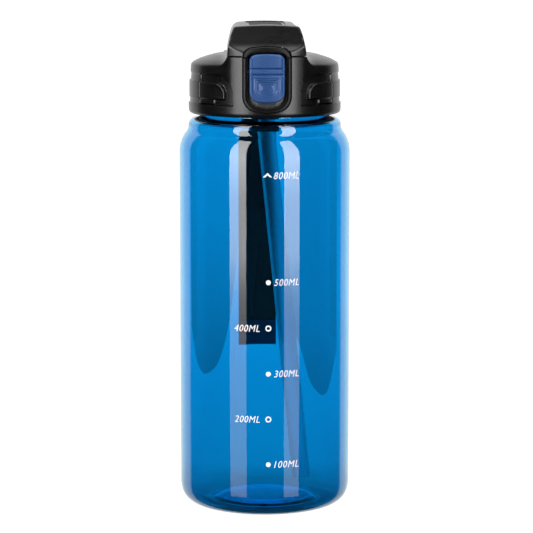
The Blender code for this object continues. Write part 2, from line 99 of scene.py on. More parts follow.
def tidy(mesh, sharp=35):
    """Merges doubled points, turns every face outwards and smooths all but the sharp edges."""
    build = bmesh.new()
    build.from_mesh(mesh)
    bmesh.ops.remove_doubles(build, verts=build.verts, dist=0.000002)
    bmesh.ops.dissolve_degenerate(build, edges=build.edges, dist=0.000001)
    bmesh.ops.recalc_face_normals(build, faces=build.faces)
    build.to_mesh(mesh)
    build.free()
    mesh.shade_smooth()
    mesh.set_sharp_from_angle(angle=radians(sharp))
    return mesh


def skin(grid, ring=False, caps=False):
    """A mesh over rows of points in millimetres. Each row closes on itself."""
    rows, columns = grid.shape[:2]
    faces = []
    for i in range(rows if ring else rows - 1):
        below = (i + 1) % rows
        for k in range(columns):
            beside = (k + 1) % columns
            faces.append((i * columns + k, i * columns + beside,
                          below * columns + beside, below * columns + k))
    if caps:
        faces.append(tuple(range(columns)))
        faces.append(tuple((rows - 1) * columns + k for k in range(columns)))
    mesh = bpy.data.meshes.new("skin")
    mesh.from_pydata((grid.reshape(-1, 3) * MM).tolist(), [], faces)
    return tidy(mesh)


def prism(outline, low, high, across="Z"):
    """An outline pushed from low to high: (x, y) for Z, (x, z) for Y and (y, z) for X."""
    flat = np.array(outline, float)
    grid = np.empty((2, len(flat), 3))
    first, second, third = {"Z": (0, 1, 2), "Y": (0, 2, 1), "X": (1, 2, 0)}[across]
    grid[..., first] = flat[:, 0]
    grid[..., second] = flat[:, 1]
    grid[..., third] = np.array([low, high])[:, None]
    return skin(grid, caps=True)


def block(low, high):
    corners = [(low[0], low[1]), (high[0], low[1]), (high[0], high[1]), (low[0], high[1])]
    return prism(corners, low[2], high[2])


# %% [markdown]
# ### From meshes to pieces
# A piece can hold several closed meshes, such as a plate and its hook. Cuts and rounded edges are
# modifiers that become plain mesh at once.

# %% Objects from meshes


def new_object(name, data):
    """An object for a mesh, a curve, a light or a camera, placed in the scene."""
    made = bpy.data.objects.new(name, data)
    bpy.context.scene.collection.objects.link(made)
    return made


def piece(name, material, *meshes):
    """One object from one or more closed meshes."""
    build = bmesh.new()
    for mesh in meshes:
        build.from_mesh(mesh)
        bpy.data.meshes.remove(mesh)
    whole = bpy.data.meshes.new(name)
    build.to_mesh(whole)
    build.free()
    whole.shade_smooth()
    whole.set_sharp_from_angle(angle=radians(35))
    whole.materials.append(material)
    return new_object(name, whole)


def keep_result(made):
    """Turns an object's modifiers into plain mesh."""
    graph = bpy.context.evaluated_depsgraph_get()
    result = bpy.data.meshes.new_from_object(made.evaluated_get(graph))
    made.modifiers.clear()
    made.data = result
    return made


def carve(made, *cutters):
    """Cuts closed meshes out of an object, one after another."""
    for cutter in cutters:
        tool = new_object("cutter", cutter)
        step = made.modifiers.new("cut", "BOOLEAN")
        step.object = tool
        step.operation = "DIFFERENCE"
        step.solver = "EXACT"
        keep_result(made)
        bpy.data.objects.remove(tool)
    tidy(made.data)
    return made


def soften(made, width, segments=3):
    """Rounds the edges of a plain piece."""
    step = made.modifiers.new("round", "BEVEL")
    step.width = width * MM
    step.segments = segments
    step.limit_method = "ANGLE"
    step.angle_limit = radians(40)
    return keep_result(made)


def fit(made, body, slot, *stands_for):
    """Ties a finished piece to its body and hides the CAD nodes it stands for."""
    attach(made, body)
    if stands_for:
        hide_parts(*stands_for)
    print(made.name, "on", body, len(made.data.polygons), "faces")
    return made


# %% [markdown]
# ## Finishes
# Moulded plastic is never one flat colour: the tool leaves a fine grain, and handling leaves faint
# cloudy patches that are a little glossier. Both come from noise on Object coordinates. One node
# group makes the two signals, and each material decides how strongly it uses them.

# %% Shared surface group


def dial(node, **values):
    """Sets a node's inputs by name. An underscore stands for a space."""
    for label, value in values.items():
        node.inputs[label.replace("_", " ")].default_value = value


surface = bpy.data.node_groups.new("moulded_surface", "ShaderNodeTree")
for label, value in (("Grain Size", 0.0003), ("Patch Size", 0.012), ("Contrast", 1.0)):
    socket = surface.interface.new_socket(label, in_out="INPUT", socket_type="NodeSocketFloat")
    socket.default_value = value
for label in ("Grain", "Patches"):
    surface.interface.new_socket(label, in_out="OUTPUT", socket_type="NodeSocketFloat")
inner = surface.nodes
ties = surface.links
entry = inner.new("NodeGroupInput")
leave = inner.new("NodeGroupOutput")
place = inner.new("ShaderNodeTexCoord")
for label, detail in (("Grain", 2.0), ("Patch", 3.0)):
    turn_over = inner.new("ShaderNodeMath")
    turn_over.operation = "DIVIDE"
    turn_over.inputs[0].default_value = 1.0
    ties.new(entry.outputs[label + " Size"], turn_over.inputs[1])
    noise = inner.new("ShaderNodeTexNoise")
    dial(noise, Detail=detail, Roughness=0.55)
    ties.new(place.outputs["Object"], noise.inputs["Vector"])
    ties.new(turn_over.outputs[0], noise.inputs["Scale"])
    if label == "Grain":
        ties.new(noise.outputs["Fac"], leave.inputs["Grain"])
    else:
        spread = inner.new("ShaderNodeMapRange")
        spread.interpolation_type = "SMOOTHSTEP"
        dial(spread, From_Min=0.32, From_Max=0.68)
        ties.new(noise.outputs["Fac"], spread.inputs["Value"])
        scale = inner.new("ShaderNodeMath")
        scale.operation = "MULTIPLY"
        ties.new(spread.outputs["Result"], scale.inputs[0])
        ties.new(entry.outputs["Contrast"], scale.inputs[1])
        ties.new(scale.outputs[0], leave.inputs["Patches"])
print("group", surface.name, [item.name for item in surface.interface.items_tree])


# %% Materials


def finish(name, dark, light, gloss, grain=0.0003, patch=0.012, relief=0.00002, **plain):
    """A Principled material whose colour and roughness drift between two values."""
    made = bpy.data.materials.new(name)
    made.use_nodes = True
    tree = made.node_tree
    shader = tree.nodes["Principled BSDF"]
    group = tree.nodes.new("ShaderNodeGroup")
    group.node_tree = surface
    dial(group, Grain_Size=grain, Patch_Size=patch)
    tint = tree.nodes.new("ShaderNodeMix")
    tint.data_type = "RGBA"
    tint.inputs[6].default_value = (*dark, 1)
    tint.inputs[7].default_value = (*light, 1)
    tree.links.new(group.outputs["Patches"], tint.inputs[0])
    tree.links.new(tint.outputs[2], shader.inputs["Base Color"])
    sheen = tree.nodes.new("ShaderNodeMapRange")
    dial(sheen, To_Min=gloss[0], To_Max=gloss[1])
    tree.links.new(group.outputs["Patches"], sheen.inputs["Value"])
    tree.links.new(sheen.outputs["Result"], shader.inputs["Roughness"])
    bump = tree.nodes.new("ShaderNodeBump")
    dial(bump, Strength=0.6, Distance=relief)
    tree.links.new(group.outputs["Grain"], bump.inputs["Height"])
    tree.links.new(bump.outputs["Normal"], shader.inputs["Normal"])
    dial(shader, **plain)
    return made


# %% [markdown]
# ### The finishes of this bottle
# The black mouldings are satin, the button a little softer, and the trim round it duller still. The
# clear plastic takes its blue from its two faces and, where the wall is thick, from the depth that
# light crosses. The inks don't shine, and the soft parts scatter a little light.

# %% Plastics, inks and steel
satin_black = finish("satin_black_plastic", (0.002, 0.002, 0.0021), (0.0035, 0.0035, 0.0037),
                     (0.27, 0.3), grain=0.00022, relief=0.000012, Specular_IOR_Level=0.3)
inner_black = finish("inner_black_plastic", (0.008, 0.008, 0.009), (0.014, 0.014, 0.015),
                     (0.42, 0.5), grain=0.0004)
button_blue = finish("blue_button_plastic", (0.012, 0.055, 0.185), (0.015, 0.064, 0.205),
                     (0.3, 0.36), grain=0.00025, relief=0.000012, Specular_IOR_Level=0.3)
clear_blue = finish("clear_blue_plastic", (0.01, 0.56, 0.845), (0.015, 0.58, 0.865), (0.0, 0.012),
                    grain=0.02, patch=0.05, relief=0.00003, Transmission_Weight=1.0, IOR=1.5)
thickness_tint = clear_blue.node_tree.nodes.new("ShaderNodeVolumeAbsorption")
dial(thickness_tint, Color=(0.0, 0.852, 0.95, 1), Density=425.0)
clear_blue.node_tree.links.new(thickness_tint.outputs["Volume"],
                               clear_blue.node_tree.nodes["Material Output"].inputs["Volume"])
soft_clear = finish("milky_silicone", (0.58, 0.62, 0.66), (0.66, 0.70, 0.74), (0.42, 0.52),
                    grain=0.0005, Transmission_Weight=0.25, IOR=1.41)
soft_dark = finish("dark_silicone", (0.012, 0.013, 0.015), (0.02, 0.021, 0.024), (0.5, 0.6),
                   grain=0.0005)
tube_blue = finish("blue_straw_plastic", (0.86, 0.93, 0.97), (0.88, 0.94, 0.98), (0.36, 0.44),
                   grain=0.0008, Transmission_Weight=0.98, IOR=1.25)
spring_steel = finish("spring_steel", (0.5, 0.5, 0.51), (0.6, 0.6, 0.61), (0.2, 0.32),
                      grain=0.0002, Metallic=1.0)
white_ink = finish("white_print", (0.93, 0.93, 0.94), (0.96, 0.96, 0.97), (0.45, 0.55),
                   grain=0.0002, patch=0.002)
# The navy colour is partly print and partly a painted dark reflection.
navy_print_and_reflection = finish("navy_print_and_painted_reflection", (0.0004, 0.001, 0.003), (0.0006, 0.0014, 0.004), (0.5, 0.6),
                  grain=0.0002, patch=0.004, Specular_IOR_Level=0.0)
slate_ink = finish("slate_print", (0.08, 0.22, 0.3), (0.09, 0.24, 0.33), (0.5, 0.6),
                   grain=0.0002, patch=0.004, Specular_IOR_Level=0.0)
trim_black = finish("trim_black_plastic", (0.002, 0.002, 0.0021), (0.003, 0.003, 0.0032),
                    (0.34, 0.4), grain=0.00022, relief=0.000012, Specular_IOR_Level=0.12)
print("materials:", [item.name for item in bpy.data.materials if item.use_nodes])

# %% [markdown]
# ## The bottle
# The real body is blown clear plastic: one thin wall that runs from the threaded neck over a round
# shoulder to a base with a dimple, called a punt. It has to be a closed wall with an inside, because
# light bends at both of its faces. Turning one long profile gives that wall without any cutting.

# %% Bottle profile
BODY_R, WALL = 40.5, 1.9
MOUTH_R, NECK_R, RIM_Z = 27.6, 30.2, 203.0
SHOULDER_TURN = radians(37.7)


def shoulder(inset, count):
    """From the collar down to the straight body, moved inwards by inset."""
    fillet_z = 170.0 + (15.7 + 4.7) * sin(SHOULDER_TURN)
    upper = bend((40.9, fillet_z), 4.7 + inset, pi, pi + SHOULDER_TURN, count // 2)
    lower = bend((BODY_R - 15.7, 170.0), 15.7 - inset, SHOULDER_TURN, 0, count)
    return upper + lower[1:]


base_corner = flow([(BODY_R, 10.9), (40.1, 7.9), (39.2, 5.3), (37.75, 3.35), (35.8, 1.85),
                    (33.5, 0.95), (30.6, 0.35), (27.8, 0.05)], 4)
punt = flow([(27.8, 0.05), (26.7, 0.0), (25.7, 0.2), (24.6, 0.8), (21.0, 1.8), (16.0, 2.6),
             (8.0, 3.2), (0.0, 3.4)], 4)
outside = flow([(30.2, 188.4), (30.25, 187.6), (30.6, 187.1), (31.4, 186.7), (33.2, 186.3),
                (34.7, 185.6), (35.7, 184.5), (36.19, 182.9)], 4)
rim = [(28.2, RIM_Z), (29.6, RIM_Z)] + bend((29.6, RIM_Z - 0.6), 0.6, pi / 2, 0, 5)
outside = rim + [(NECK_R, 196.0)] + outside + shoulder(0, 26) + [(BODY_R, 120), (BODY_R, 60)]
outside = outside + base_corner + punt[1:]
floor_line = flow([(0.0, 5.6), (8.0, 5.4), (16.0, 4.8), (22.0, 3.6), (25.6, 1.9), (27.5, 1.45)], 4)
inner_corner = flow([(27.5, 1.45), (30.0, 1.65), (32.5, 2.15), (34.6, 2.95), (36.3, 4.2),
                     (37.5, 5.9), (38.3, 8.2), (BODY_R - WALL, 10.9)], 4)
inside = floor_line + inner_corner[1:] + [(BODY_R - WALL, 60), (BODY_R - WALL, 120)]
inside += shoulder(WALL, 22)[::-1]
inside += flow([(34.1, 182.9), (33.7, 183.7), (32.9, 184.2), (31.0, 184.4), (29.2, 184.8),
                (28.0, 185.7), (MOUTH_R, 187.2)], 4)
inside += [(MOUTH_R, 196.0), (MOUTH_R, RIM_Z - 0.5), (27.8, RIM_Z - 0.1), (28.2, RIM_Z)]
bottle = piece("clear_bottle", clear_blue, skin(round_grid(outside + inside, 176)))
fit(bottle, "bottle", "clear_blue", "bottle_body")

# %% [markdown]
# ### The screw thread
# A thread is one round wire wound up the neck, so a Geometry Nodes tree can grow it: a spiral curve
# with a circle swept along it. Its sizes are named inputs, and the same tree could wind a spring.

# %% Thread tree


def grower(name, sizes):
    """A new Geometry Nodes tree with named sizes in metres, and its two end nodes."""
    tree = bpy.data.node_groups.new(name, "GeometryNodeTree")
    tree.interface.new_socket("Geometry", in_out="INPUT", socket_type="NodeSocketGeometry")
    tree.interface.new_socket("Geometry", in_out="OUTPUT", socket_type="NodeSocketGeometry")
    for label in sizes:
        tree.interface.new_socket(label, in_out="INPUT", socket_type="NodeSocketFloat")
    return tree, tree.nodes.new("NodeGroupInput"), tree.nodes.new("NodeGroupOutput")


def close_tree(tree, leave, last, material):
    """Ends a tree with Realize Instances and Set Material."""
    real = tree.nodes.new("GeometryNodeRealizeInstances")
    paint = tree.nodes.new("GeometryNodeSetMaterial")
    paint.inputs["Material"].default_value = material
    tree.links.new(last, real.inputs["Geometry"])
    tree.links.new(real.outputs["Geometry"], paint.inputs["Geometry"])
    tree.links.new(paint.outputs["Geometry"], leave.inputs["Geometry"])


def grow(name, tree, sizes):
    """Runs a tree once and keeps what it grew as a plain mesh."""
    made = new_object(name, bpy.data.meshes.new(name))
    step = made.modifiers.new("grow", "NODES")
    step.node_group = tree
    for item in tree.interface.items_tree:
        if item.in_out == "INPUT" and item.name in sizes:
            step[item.identifier] = float(sizes[item.name])
    keep_result(made)
    tidy(made.data)
    return made


def arrow(tree, **numbers):
    """A vector from number sockets, one for each axis that is named."""
    made = tree.nodes.new("ShaderNodeCombineXYZ")
    for axis, number in numbers.items():
        tree.links.new(number, made.inputs[axis])
    return made.outputs["Vector"]


def sweep(tree, curve, radius, sides=10):
    """Sweeps a circle along a curve socket and caps the ends."""
    ring = tree.nodes.new("GeometryNodeCurvePrimitiveCircle")
    ring.inputs["Resolution"].default_value = sides
    tree.links.new(radius, ring.inputs["Radius"])
    tube = tree.nodes.new("GeometryNodeCurveToMesh")
    tube.inputs["Fill Caps"].default_value = True
    tree.links.new(curve, tube.inputs["Curve"])
    tree.links.new(ring.outputs["Curve"], tube.inputs["Profile Curve"])
    return tube.outputs["Mesh"]


# %% Wind the thread
thread_sizes = {"Radius": 30.3 * MM, "Turns": 1.25, "Climb": 5.75 * MM, "Wire": 0.95 * MM,
                "Foot": 193.4 * MM}
thread_tree, entry, leave = grower("screw_thread", thread_sizes)
spiral = thread_tree.nodes.new("GeometryNodeCurveSpiral")
spiral.inputs["Resolution"].default_value = 72
for label, socket in (("Turns", "Rotations"), ("Radius", "Start Radius"), ("Radius", "End Radius"),
                      ("Climb", "Height")):
    thread_tree.links.new(entry.outputs[label], spiral.inputs[socket])
raised = thread_tree.nodes.new("GeometryNodeTransform")
thread_tree.links.new(sweep(thread_tree, spiral.outputs["Curve"], entry.outputs["Wire"]),
                      raised.inputs["Geometry"])
thread_tree.links.new(arrow(thread_tree, Z=entry.outputs["Foot"]), raised.inputs["Translation"])
close_tree(thread_tree, leave, raised.outputs["Geometry"], clear_blue)
fit(grow("neck_thread", thread_tree, thread_sizes), "bottle", "clear_blue")

# %% [markdown]
# ## Volume marks
# The marks are one coat of white ink, a few hundredths of a millimetre thick, on the curved front.
# They are made flat and then wrapped round the body, so that they keep their real widths. The dots
# and rings repeat at an even step, which suits a tree: a line of points with a shape at each.

# %% Wrapping and lettering
INK_R = BODY_R + 0.04


def wrap(mesh, centre=0.0):
    """Rolls a flat (x, z) drawing on to the body about a turn from the front."""
    for vertex in mesh.vertices:
        turn = vertex.co.x / (INK_R * MM) + centre
        vertex.co.x, vertex.co.y = INK_R * MM * sin(turn), -INK_R * MM * cos(turn)


def lettering(words, left, right, middle, height=3.2):
    """Flat slanted letters, fitted between two edges and centred on a height."""
    text = bpy.data.curves.new("mark", "FONT")
    text.body = words
    text.shear = 0.25
    text.space_character = 1.12
    text.resolution_u = 3
    made = new_object("mark", text)
    graph = bpy.context.evaluated_depsgraph_get()
    mesh = bpy.data.meshes.new_from_object(made.evaluated_get(graph))
    bpy.data.objects.remove(made)
    spots = np.array([v.co for v in mesh.vertices])
    low, high = spots.min(0), spots.max(0)
    for vertex in mesh.vertices:
        share = (np.array(vertex.co) - low)[:2] / (high - low)[:2]
        vertex.co.x = (left + (right - left) * share[0]) * MM
        vertex.co.y = 0
        vertex.co.z = (middle - height / 2 + height * share[1]) * MM
    mesh.materials.clear()
    return mesh


def chevron(middle):
    """A small arrowhead that points up, 4.3 mm wide with a 1 mm stroke."""
    half, rise, stroke = 2.15, 2.1, 1.15
    outline = [(-half, 0), (0, rise), (half, 0), (half - 0.95, 0), (0, rise - stroke),
               (0.95 - half, 0)]
    mesh = bpy.data.meshes.new("chevron")
    corners = [(x * MM, 0, (z + middle - rise / 2) * MM) for x, z in outline]
    mesh.from_pydata(corners, [], [(0, 5, 4, 1), (1, 4, 3, 2)])
    return mesh


# %% Volume numbers
MARK_X = 0.4
FIRST_MARK, MARK_STEP = 26.6, 21.5
marks = [lettering("800ML", MARK_X + 2.5, MARK_X + 14.5, 162.3), chevron(162.6)]
for hundreds in (5, 3, 1):
    height = FIRST_MARK + MARK_STEP * (hundreds - 1)
    marks.append(lettering(f"{hundreds}00ML", MARK_X + 2.7, MARK_X + 14.6, height))
for hundreds in (4, 2):
    height = FIRST_MARK + MARK_STEP * (hundreds - 1)
    marks.append(lettering(f"{hundreds}00ML", MARK_X - 16.0, MARK_X - 4.0, height))
for mesh in marks:
    wrap(mesh)
fit(piece("volume_numbers", white_ink, *marks), "bottle", None)

# %% Dots and rings


def mark_tree(name, hollow):
    """A column of three dots, or of two rings when hollow, that faces the front."""
    tree, entry, leave = grower(name, ("Radius", "Stroke", "Step", "Foot"))
    make = tree.nodes.new
    link = tree.links.new
    line = make("GeometryNodeMeshLine")
    line.inputs["Count"].default_value = 2 if hollow else 3
    for label, socket in (("Foot", "Start Location"), ("Step", "Offset")):
        link(arrow(tree, Z=entry.outputs[label]), line.inputs[socket])
    circle = make("GeometryNodeMeshCircle" if not hollow else "GeometryNodeCurvePrimitiveCircle")
    circle.inputs["Resolution" if hollow else "Vertices"].default_value = 32
    link(entry.outputs["Radius"], circle.inputs["Radius"])
    drawn = circle.outputs[0]
    if hollow:
        nib = make("GeometryNodeCurvePrimitiveLine")
        link(arrow(tree, X=entry.outputs["Stroke"]), nib.inputs["End"])
        band = make("GeometryNodeCurveToMesh")
        link(drawn, band.inputs["Curve"])
        link(nib.outputs["Curve"], band.inputs["Profile Curve"])
        drawn = band.outputs["Mesh"]
    else:
        circle.fill_type = "NGON"
    face = make("GeometryNodeTransform")
    face.inputs["Rotation"].default_value = (pi / 2, 0, 0)
    link(drawn, face.inputs["Geometry"])
    stand = make("GeometryNodeInstanceOnPoints")
    link(line.outputs["Mesh"], stand.inputs["Points"])
    link(face.outputs["Geometry"], stand.inputs["Instance"])
    close_tree(tree, leave, stand.outputs["Instances"], white_ink)
    return tree


for name, hollow, sizes in (
    ("volume_dots", False, {"Radius": 1.15 * MM, "Foot": FIRST_MARK * MM}),
    ("volume_rings", True, {"Radius": 0.8 * MM, "Stroke": 0.62 * MM,
                            "Foot": (FIRST_MARK + MARK_STEP) * MM}),
):
    sizes["Step"] = 2 * MARK_STEP * MM
    made = grow(name, mark_tree(name, hollow), sizes)
    wrap(made.data, centre=MARK_X / INK_R)
    fit(made, "bottle", None)

# %% [markdown]
# ### The rear print
# Behind the marks, on the far side of the body, there is one plain panel of print with a paler
# foot. Its dark navy upper part is partly print and partly a painted dark reflection; the slate foot
# shows the print's own paler tone. It is drawn as a fine flat grid and wrapped in the same way, and
# it follows the wall up on to the shoulder. It lies a hair inside the outer face, as ink that has
# bonded to the plastic does, so that no bright gap shows behind it. It has no lettering on it.

# %% Rear print
PRINT_HALF, PRINT_COLUMNS, PRINT_DEPTH = 9.7, 25, 0.15
outer_line = np.array([point for point in outside if 100 < point[1] < 184])


def rear_patch(name, material, heights):
    """A strip of ink on the back wall, in rows at the given heights."""
    n = PRINT_COLUMNS
    across, up = np.meshgrid(np.linspace(-PRINT_HALF, PRINT_HALF, n), heights)
    corners = [(x * MM, 0, z * MM) for x, z in zip(across.ravel(), up.ravel())]
    panel = bpy.data.meshes.new(name)
    starts = [i * n + k for i in range(len(heights) - 1) for k in range(n - 1)]
    panel.from_pydata(corners, [], [(at, at + 1, at + n + 1, at + n) for at in starts])
    wrap(panel, centre=pi + 2.6 / INK_R)
    for vertex in panel.vertices:
        radius = np.interp(vertex.co.z / MM, outer_line[::-1, 1], outer_line[::-1, 0])
        vertex.co.xy = vertex.co.xy * ((radius - PRINT_DEPTH) / INK_R)
    fit(piece(name, material, panel), "bottle", None)


panel_rows = np.concatenate([np.linspace(82, 168, 8), np.linspace(171, 183, 9)])
# The dark navy panel is print with a painted dark reflection in its colour; the foot keeps the paler
# print tone.
rear_patch("rear_print_and_painted_reflection", navy_print_and_reflection, panel_rows)
rear_patch("rear_print_foot", slate_ink, np.array([70.0, 76.0, 82.0]))

# %% [markdown]
# ## The lid
# The cap is one moulding: a domed shoulder, a skirt with two raised grip bands, and a smooth front
# panel that flares up into the raised centre. Boolean cuts would leave knife edges everywhere, so
# its skin is a ring of columns instead. Each column runs from the basin over the dome and down the
# skirt, and soft steps in its radius make the panel, the grip pockets and the bands.

# %% Lid measures
one_side = np.concatenate([np.arange(0, 25, 1.25), np.arange(25, 62.5, 0.36),
                           np.linspace(62.5, 180, 50)])
TURNS = np.radians(np.concatenate([one_side[:-1], -one_side[:0:-1]]))
PARTING = 216.3
PANEL_R, NOSE_R, STEP_R, POCKET_R = 36.1, 35.62, 35.15, 34.25

dome_line = np.array(flow([(0, 216.25), (21.0, 216.25), (23.2, 216.2), (24.6, 215.95), (26.2, 215.5),
                           (28.3, 214.85), (30.8, 214.0), (32.6, 213.15), (33.8, 212.45),
                           (36.5, 210.6)], 6))
skirt_line = [(188.4, 34.9), (188.8, 35.5), (189.4, 35.85), (190.2, 35.97), (193.1, 36.05),
              (193.4, 35.95), (193.65, 35.4), (195.7, 35.35), (195.95, 35.45), (196.2, 35.7),
              (203.7, 35.68), (204.0, 35.55), (204.25, 34.95), (207.0, 34.72), (207.5, 34.8),
              (207.8, 35.02), (208.4, 35.08), (211.0, 34.9), (217.0, 34.7)]
print("lid columns:", len(TURNS), "parting at", PARTING, "mm")

# %% Radius of the skirt


def area(across, up, span, rise, corners):
    """Signed distance to a rectangle. corners: radii at low-high, low-low, high-high, high-low."""
    u = across - (span[0] + span[1]) / 2
    v = up - (rise[0] + rise[1]) / 2
    radius = np.where(u < 0, np.where(v > 0, corners[0], corners[1]),
                      np.where(v > 0, corners[2], corners[3]))
    du = np.abs(u) - (span[1] - span[0]) / 2 + radius
    dv = np.abs(v) - (rise[1] - rise[0]) / 2 + radius
    beyond = np.hypot(np.maximum(du, 0), np.maximum(dv, 0))
    return np.minimum(np.maximum(du, dv), 0) + beyond - radius


def inside_of(distance, soft=0.3):
    """1 inside a shape, 0 outside it, with a soft edge."""
    return 1 - ease(-soft, soft, distance)


def wall_radius(turn, z):
    """Outer radius of the skirt, in millimetres."""
    aside = np.degrees(np.abs(turn))
    along = np.radians(aside) * 35.3
    heights, radii = zip(*skirt_line)
    radius = np.interp(z, heights, radii)
    panel = (1 - ease(27.0, 40.0, aside)) * ease(189.0, 190.4, z)
    radius = radius + (np.maximum(PANEL_R, radius) - radius) * panel
    pocket = inside_of(area(along, z, (16.2, 37.6), (193.7, 207.7), (10.0, 0.6, 0.4, 0.4)))
    radius = radius + (POCKET_R - radius) * pocket
    step = inside_of(area(along, z, (27.2, 45.0), (194.2, 196.6), (0.4, 0.4, 0.4, 0.4)), 0.2)
    radius = radius + (STEP_R - radius) * step * pocket
    nose_distance = area(along, z, (20.4, 60.0), (196.4, 204.0), (5.6, 0.7, 0.7, 0.7))
    nose = inside_of(nose_distance, 0.35)
    lip = 0.22 * np.exp(-((nose_distance + 0.75) / 0.4) ** 2) * (1 - ease(25.0, 31.0, along))
    return radius + (NOSE_R + lip - radius) * nose * pocket


print("skirt radius at the front:", round(float(wall_radius(0.0, 200.0)), 2), "mm")

# %% Height of the top and edge of the basin


def top_height(x, y):
    """Height of the lid's top: the dome, and the raised centre that flares down on to it."""
    dome = np.interp(np.hypot(x, y), dome_line[:, 0], dome_line[:, 1])
    flare = (1 - np.clip((np.abs(x) - 18.4) / 5.4, 0, 1)) ** 2.2
    behind = 1 - ease(27.0, 28.2, y)
    return dome + (PARTING - dome) * flare * behind


def basin_radius(turn):
    """Distance from the axis to the edge of the basin under the cover."""
    side = np.abs(np.sin(turn)) / 16.4
    front = np.cos(turn)
    end = np.abs(front) / np.where(front > 0, 27.2, 24.6)
    power = np.where(front > 0, 30.0, 5.0)
    return (side**power + end**power) ** (-1 / power)


# %% Lid skin
aside = np.degrees(np.abs(TURNS))
toward_front = 1 - ease(29.5, 41.0, aside)
rim_r = wall_radius(TURNS, 212.0) - (1.15 - 0.8 * toward_front)
basin_r = basin_radius(TURNS)


def at(radius):
    return radius * np.sin(TURNS), -radius * np.cos(TURNS)


rows = []


def add_row(radius, height):
    x, y = at(radius)
    rows.append(np.stack([x, y, np.broadcast_to(height, x.shape)], axis=-1))


add_row(basin_r, 207.2)
add_row(basin_r, PARTING - 0.5)
for share in (0, 0.012, 0.03) + tuple(1 - (1 - t) ** 1.5 for t in np.linspace(0.06, 1, 26)):
    radius = basin_r + (rim_r - basin_r) * share
    add_row(radius, top_height(*at(radius)) - (0.35 if share == 0 else 0))
rim_z = top_height(*at(rim_r))
slope = np.clip((top_height(*at(rim_r)) - top_height(*at(rim_r - 0.3))) / 0.3, -2.5, 0)
reach = wall_radius(TURNS, 212.0) - rim_r
drop = -slope * reach + 0.95 - 0.55 * toward_front
for t in np.linspace(0, 1, 9)[1:]:
    radius = rim_r + reach * (2 * t - t * t)
    height = rim_z + 2 * t * (1 - t) * slope * reach - t * t * drop
    add_row(radius, height)
wall_top = rim_z - drop
for t in np.linspace(0, 1, 9)[1:]:
    height = wall_top + (209.0 - wall_top) * t
    add_row(wall_radius(TURNS, height), height)
breaks = np.array([z for z, _ in skirt_line if z < 209])
fill = np.arange(189.8, 209.0, 0.42)
for height in sorted(set(np.round(np.concatenate([breaks, fill]), 2)), reverse=True):
    add_row(wall_radius(TURNS, height), height)
for radius, height in ((34.3, 188.4), (33.6, 188.4), (33.4, 188.6), (33.4, 207.2)):
    add_row(np.full(TURNS.shape, radius), height)
lid_mesh = skin(np.array(rows), ring=True)
print("lid skin:", len(rows), "rows of", len(TURNS))

# %% [markdown]
# ### Openings in the lid
# The front has a stepped well for the button and its trim, and the back has a landing for the
# cover's hinge. These have crisp edges on the real part too, so here plain cuts are right. The two
# hinge lugs are flat brackets with a round eye.

# %% Cut the lid and add its lugs


def arched(half, low, high, low_corner, high_corner, low_sag=0.0, high_sag=0.0, count=9):
    """Front-view outline with round corners and bulging ends, in millimetres."""
    outline = []
    for side, edge, corner, sag in ((-1, low, low_corner, low_sag),
                                    (1, high, high_corner, high_sag)):
        across, up = corner if isinstance(corner, tuple) else (corner, corner)
        level = edge - side * (sag + up)
        start = pi if side < 0 else 0
        outline += bend((side * (half - across), level), (across, up), start, start + 0.42 * pi, count)
        outline += [(0, edge)] if sag else []
        outline += bend((-side * (half - across), level), (across, up), start + 0.58 * pi,
                        start + pi, count)
    return outline


def eye(y, z, radius, foot):
    """Side view of a bracket that stands on foot and ends in a round eye."""
    ring = bend((y, z), radius, -0.1 * pi, 1.1 * pi, 25)
    return [(ring[-1][0], foot), (ring[0][0], foot)] + ring


lid = piece("lid_cap", satin_black, lid_mesh)
carve(lid,
      prism(arched(11.5, 190.05, 230, 7.3, 1.0, 0.8), -45, -33.1, "Y"),
      prism(arched(8.9, 192.6, 230, 5.0, 1.0, 0.9), -45, -27.0, "Y"),
      block((-14.8, 27.0, 213.3), (14.8, 45, 222)))
HINGE_Y, HINGE_Z, EYE_R = 29.5, 216.0, 2.2
lugs = [prism(eye(HINGE_Y, HINGE_Z, EYE_R, 212.8), *sorted((side * 9.6, side * 12.4)), "X")
        for side in (-1, 1)]
lid_lugs = soften(piece("lid_lugs", satin_black, *lugs), 0.25)
fit(lid, "lid", "black_shell", "lid_shell")
fit(lid_lugs, "lid", "black_shell")

# %% [markdown]
# ### The trim round the button and the arch above it
# Both are bands that follow a front-view path and lie on the round front: the trim is a U with a
# step down towards the button, and the arch belongs to the cover. A band is a section carried along
# a pair of outlines, so its width and its step stay even round the corners.

# %% Bands


def band(inner_path, outer_path, section, lean=0.0):
    """A closed section of (share across, radius) carried along two outlines of equal length."""
    near, far = np.array(inner_path, float), np.array(outer_path, float)
    grid = np.empty((len(near), len(section), 3))
    for k, (share, radius) in enumerate(section):
        x, z = (near + (far - near) * share).T
        grid[:, k, 0] = x
        grid[:, k, 1] = -np.sqrt((radius - lean * (z - PARTING)) ** 2 - x**2)
        grid[:, k, 2] = z
    return skin(grid, caps=True)


def u_path(half, low, top, corner, sag):
    """The lower part of an outline, from the top left down and round to the top right."""
    ring = arched(half, low, top, corner, 1.0, sag, 0.0, 15)
    bottom = ring[:31]
    left = [(-half, z) for z in np.linspace(top, bottom[0][1], 8)[:-1]]
    right = [(half, z) for z in np.linspace(bottom[-1][1], top, 8)[1:]]
    return left + bottom + right


trim_section = [(0.0, 33.5), (0.0, 34.9), (0.03, 35.1), (0.1, 35.2), (0.34, 35.25), (0.4, 35.7),
                (0.46, 36.4), (0.52, 36.5), (0.9, 36.5), (0.97, 36.42), (1.0, 36.25), (1.0, 33.5)]
trim = piece("button_trim", trim_black,
             band(u_path(8.95, 192.6, 215.7, 5.0, 0.9), u_path(11.2, 190.35, 215.7, 7.0, 0.8),
                  trim_section))
fit(trim, "lid", "black_shell", "button_bezel")


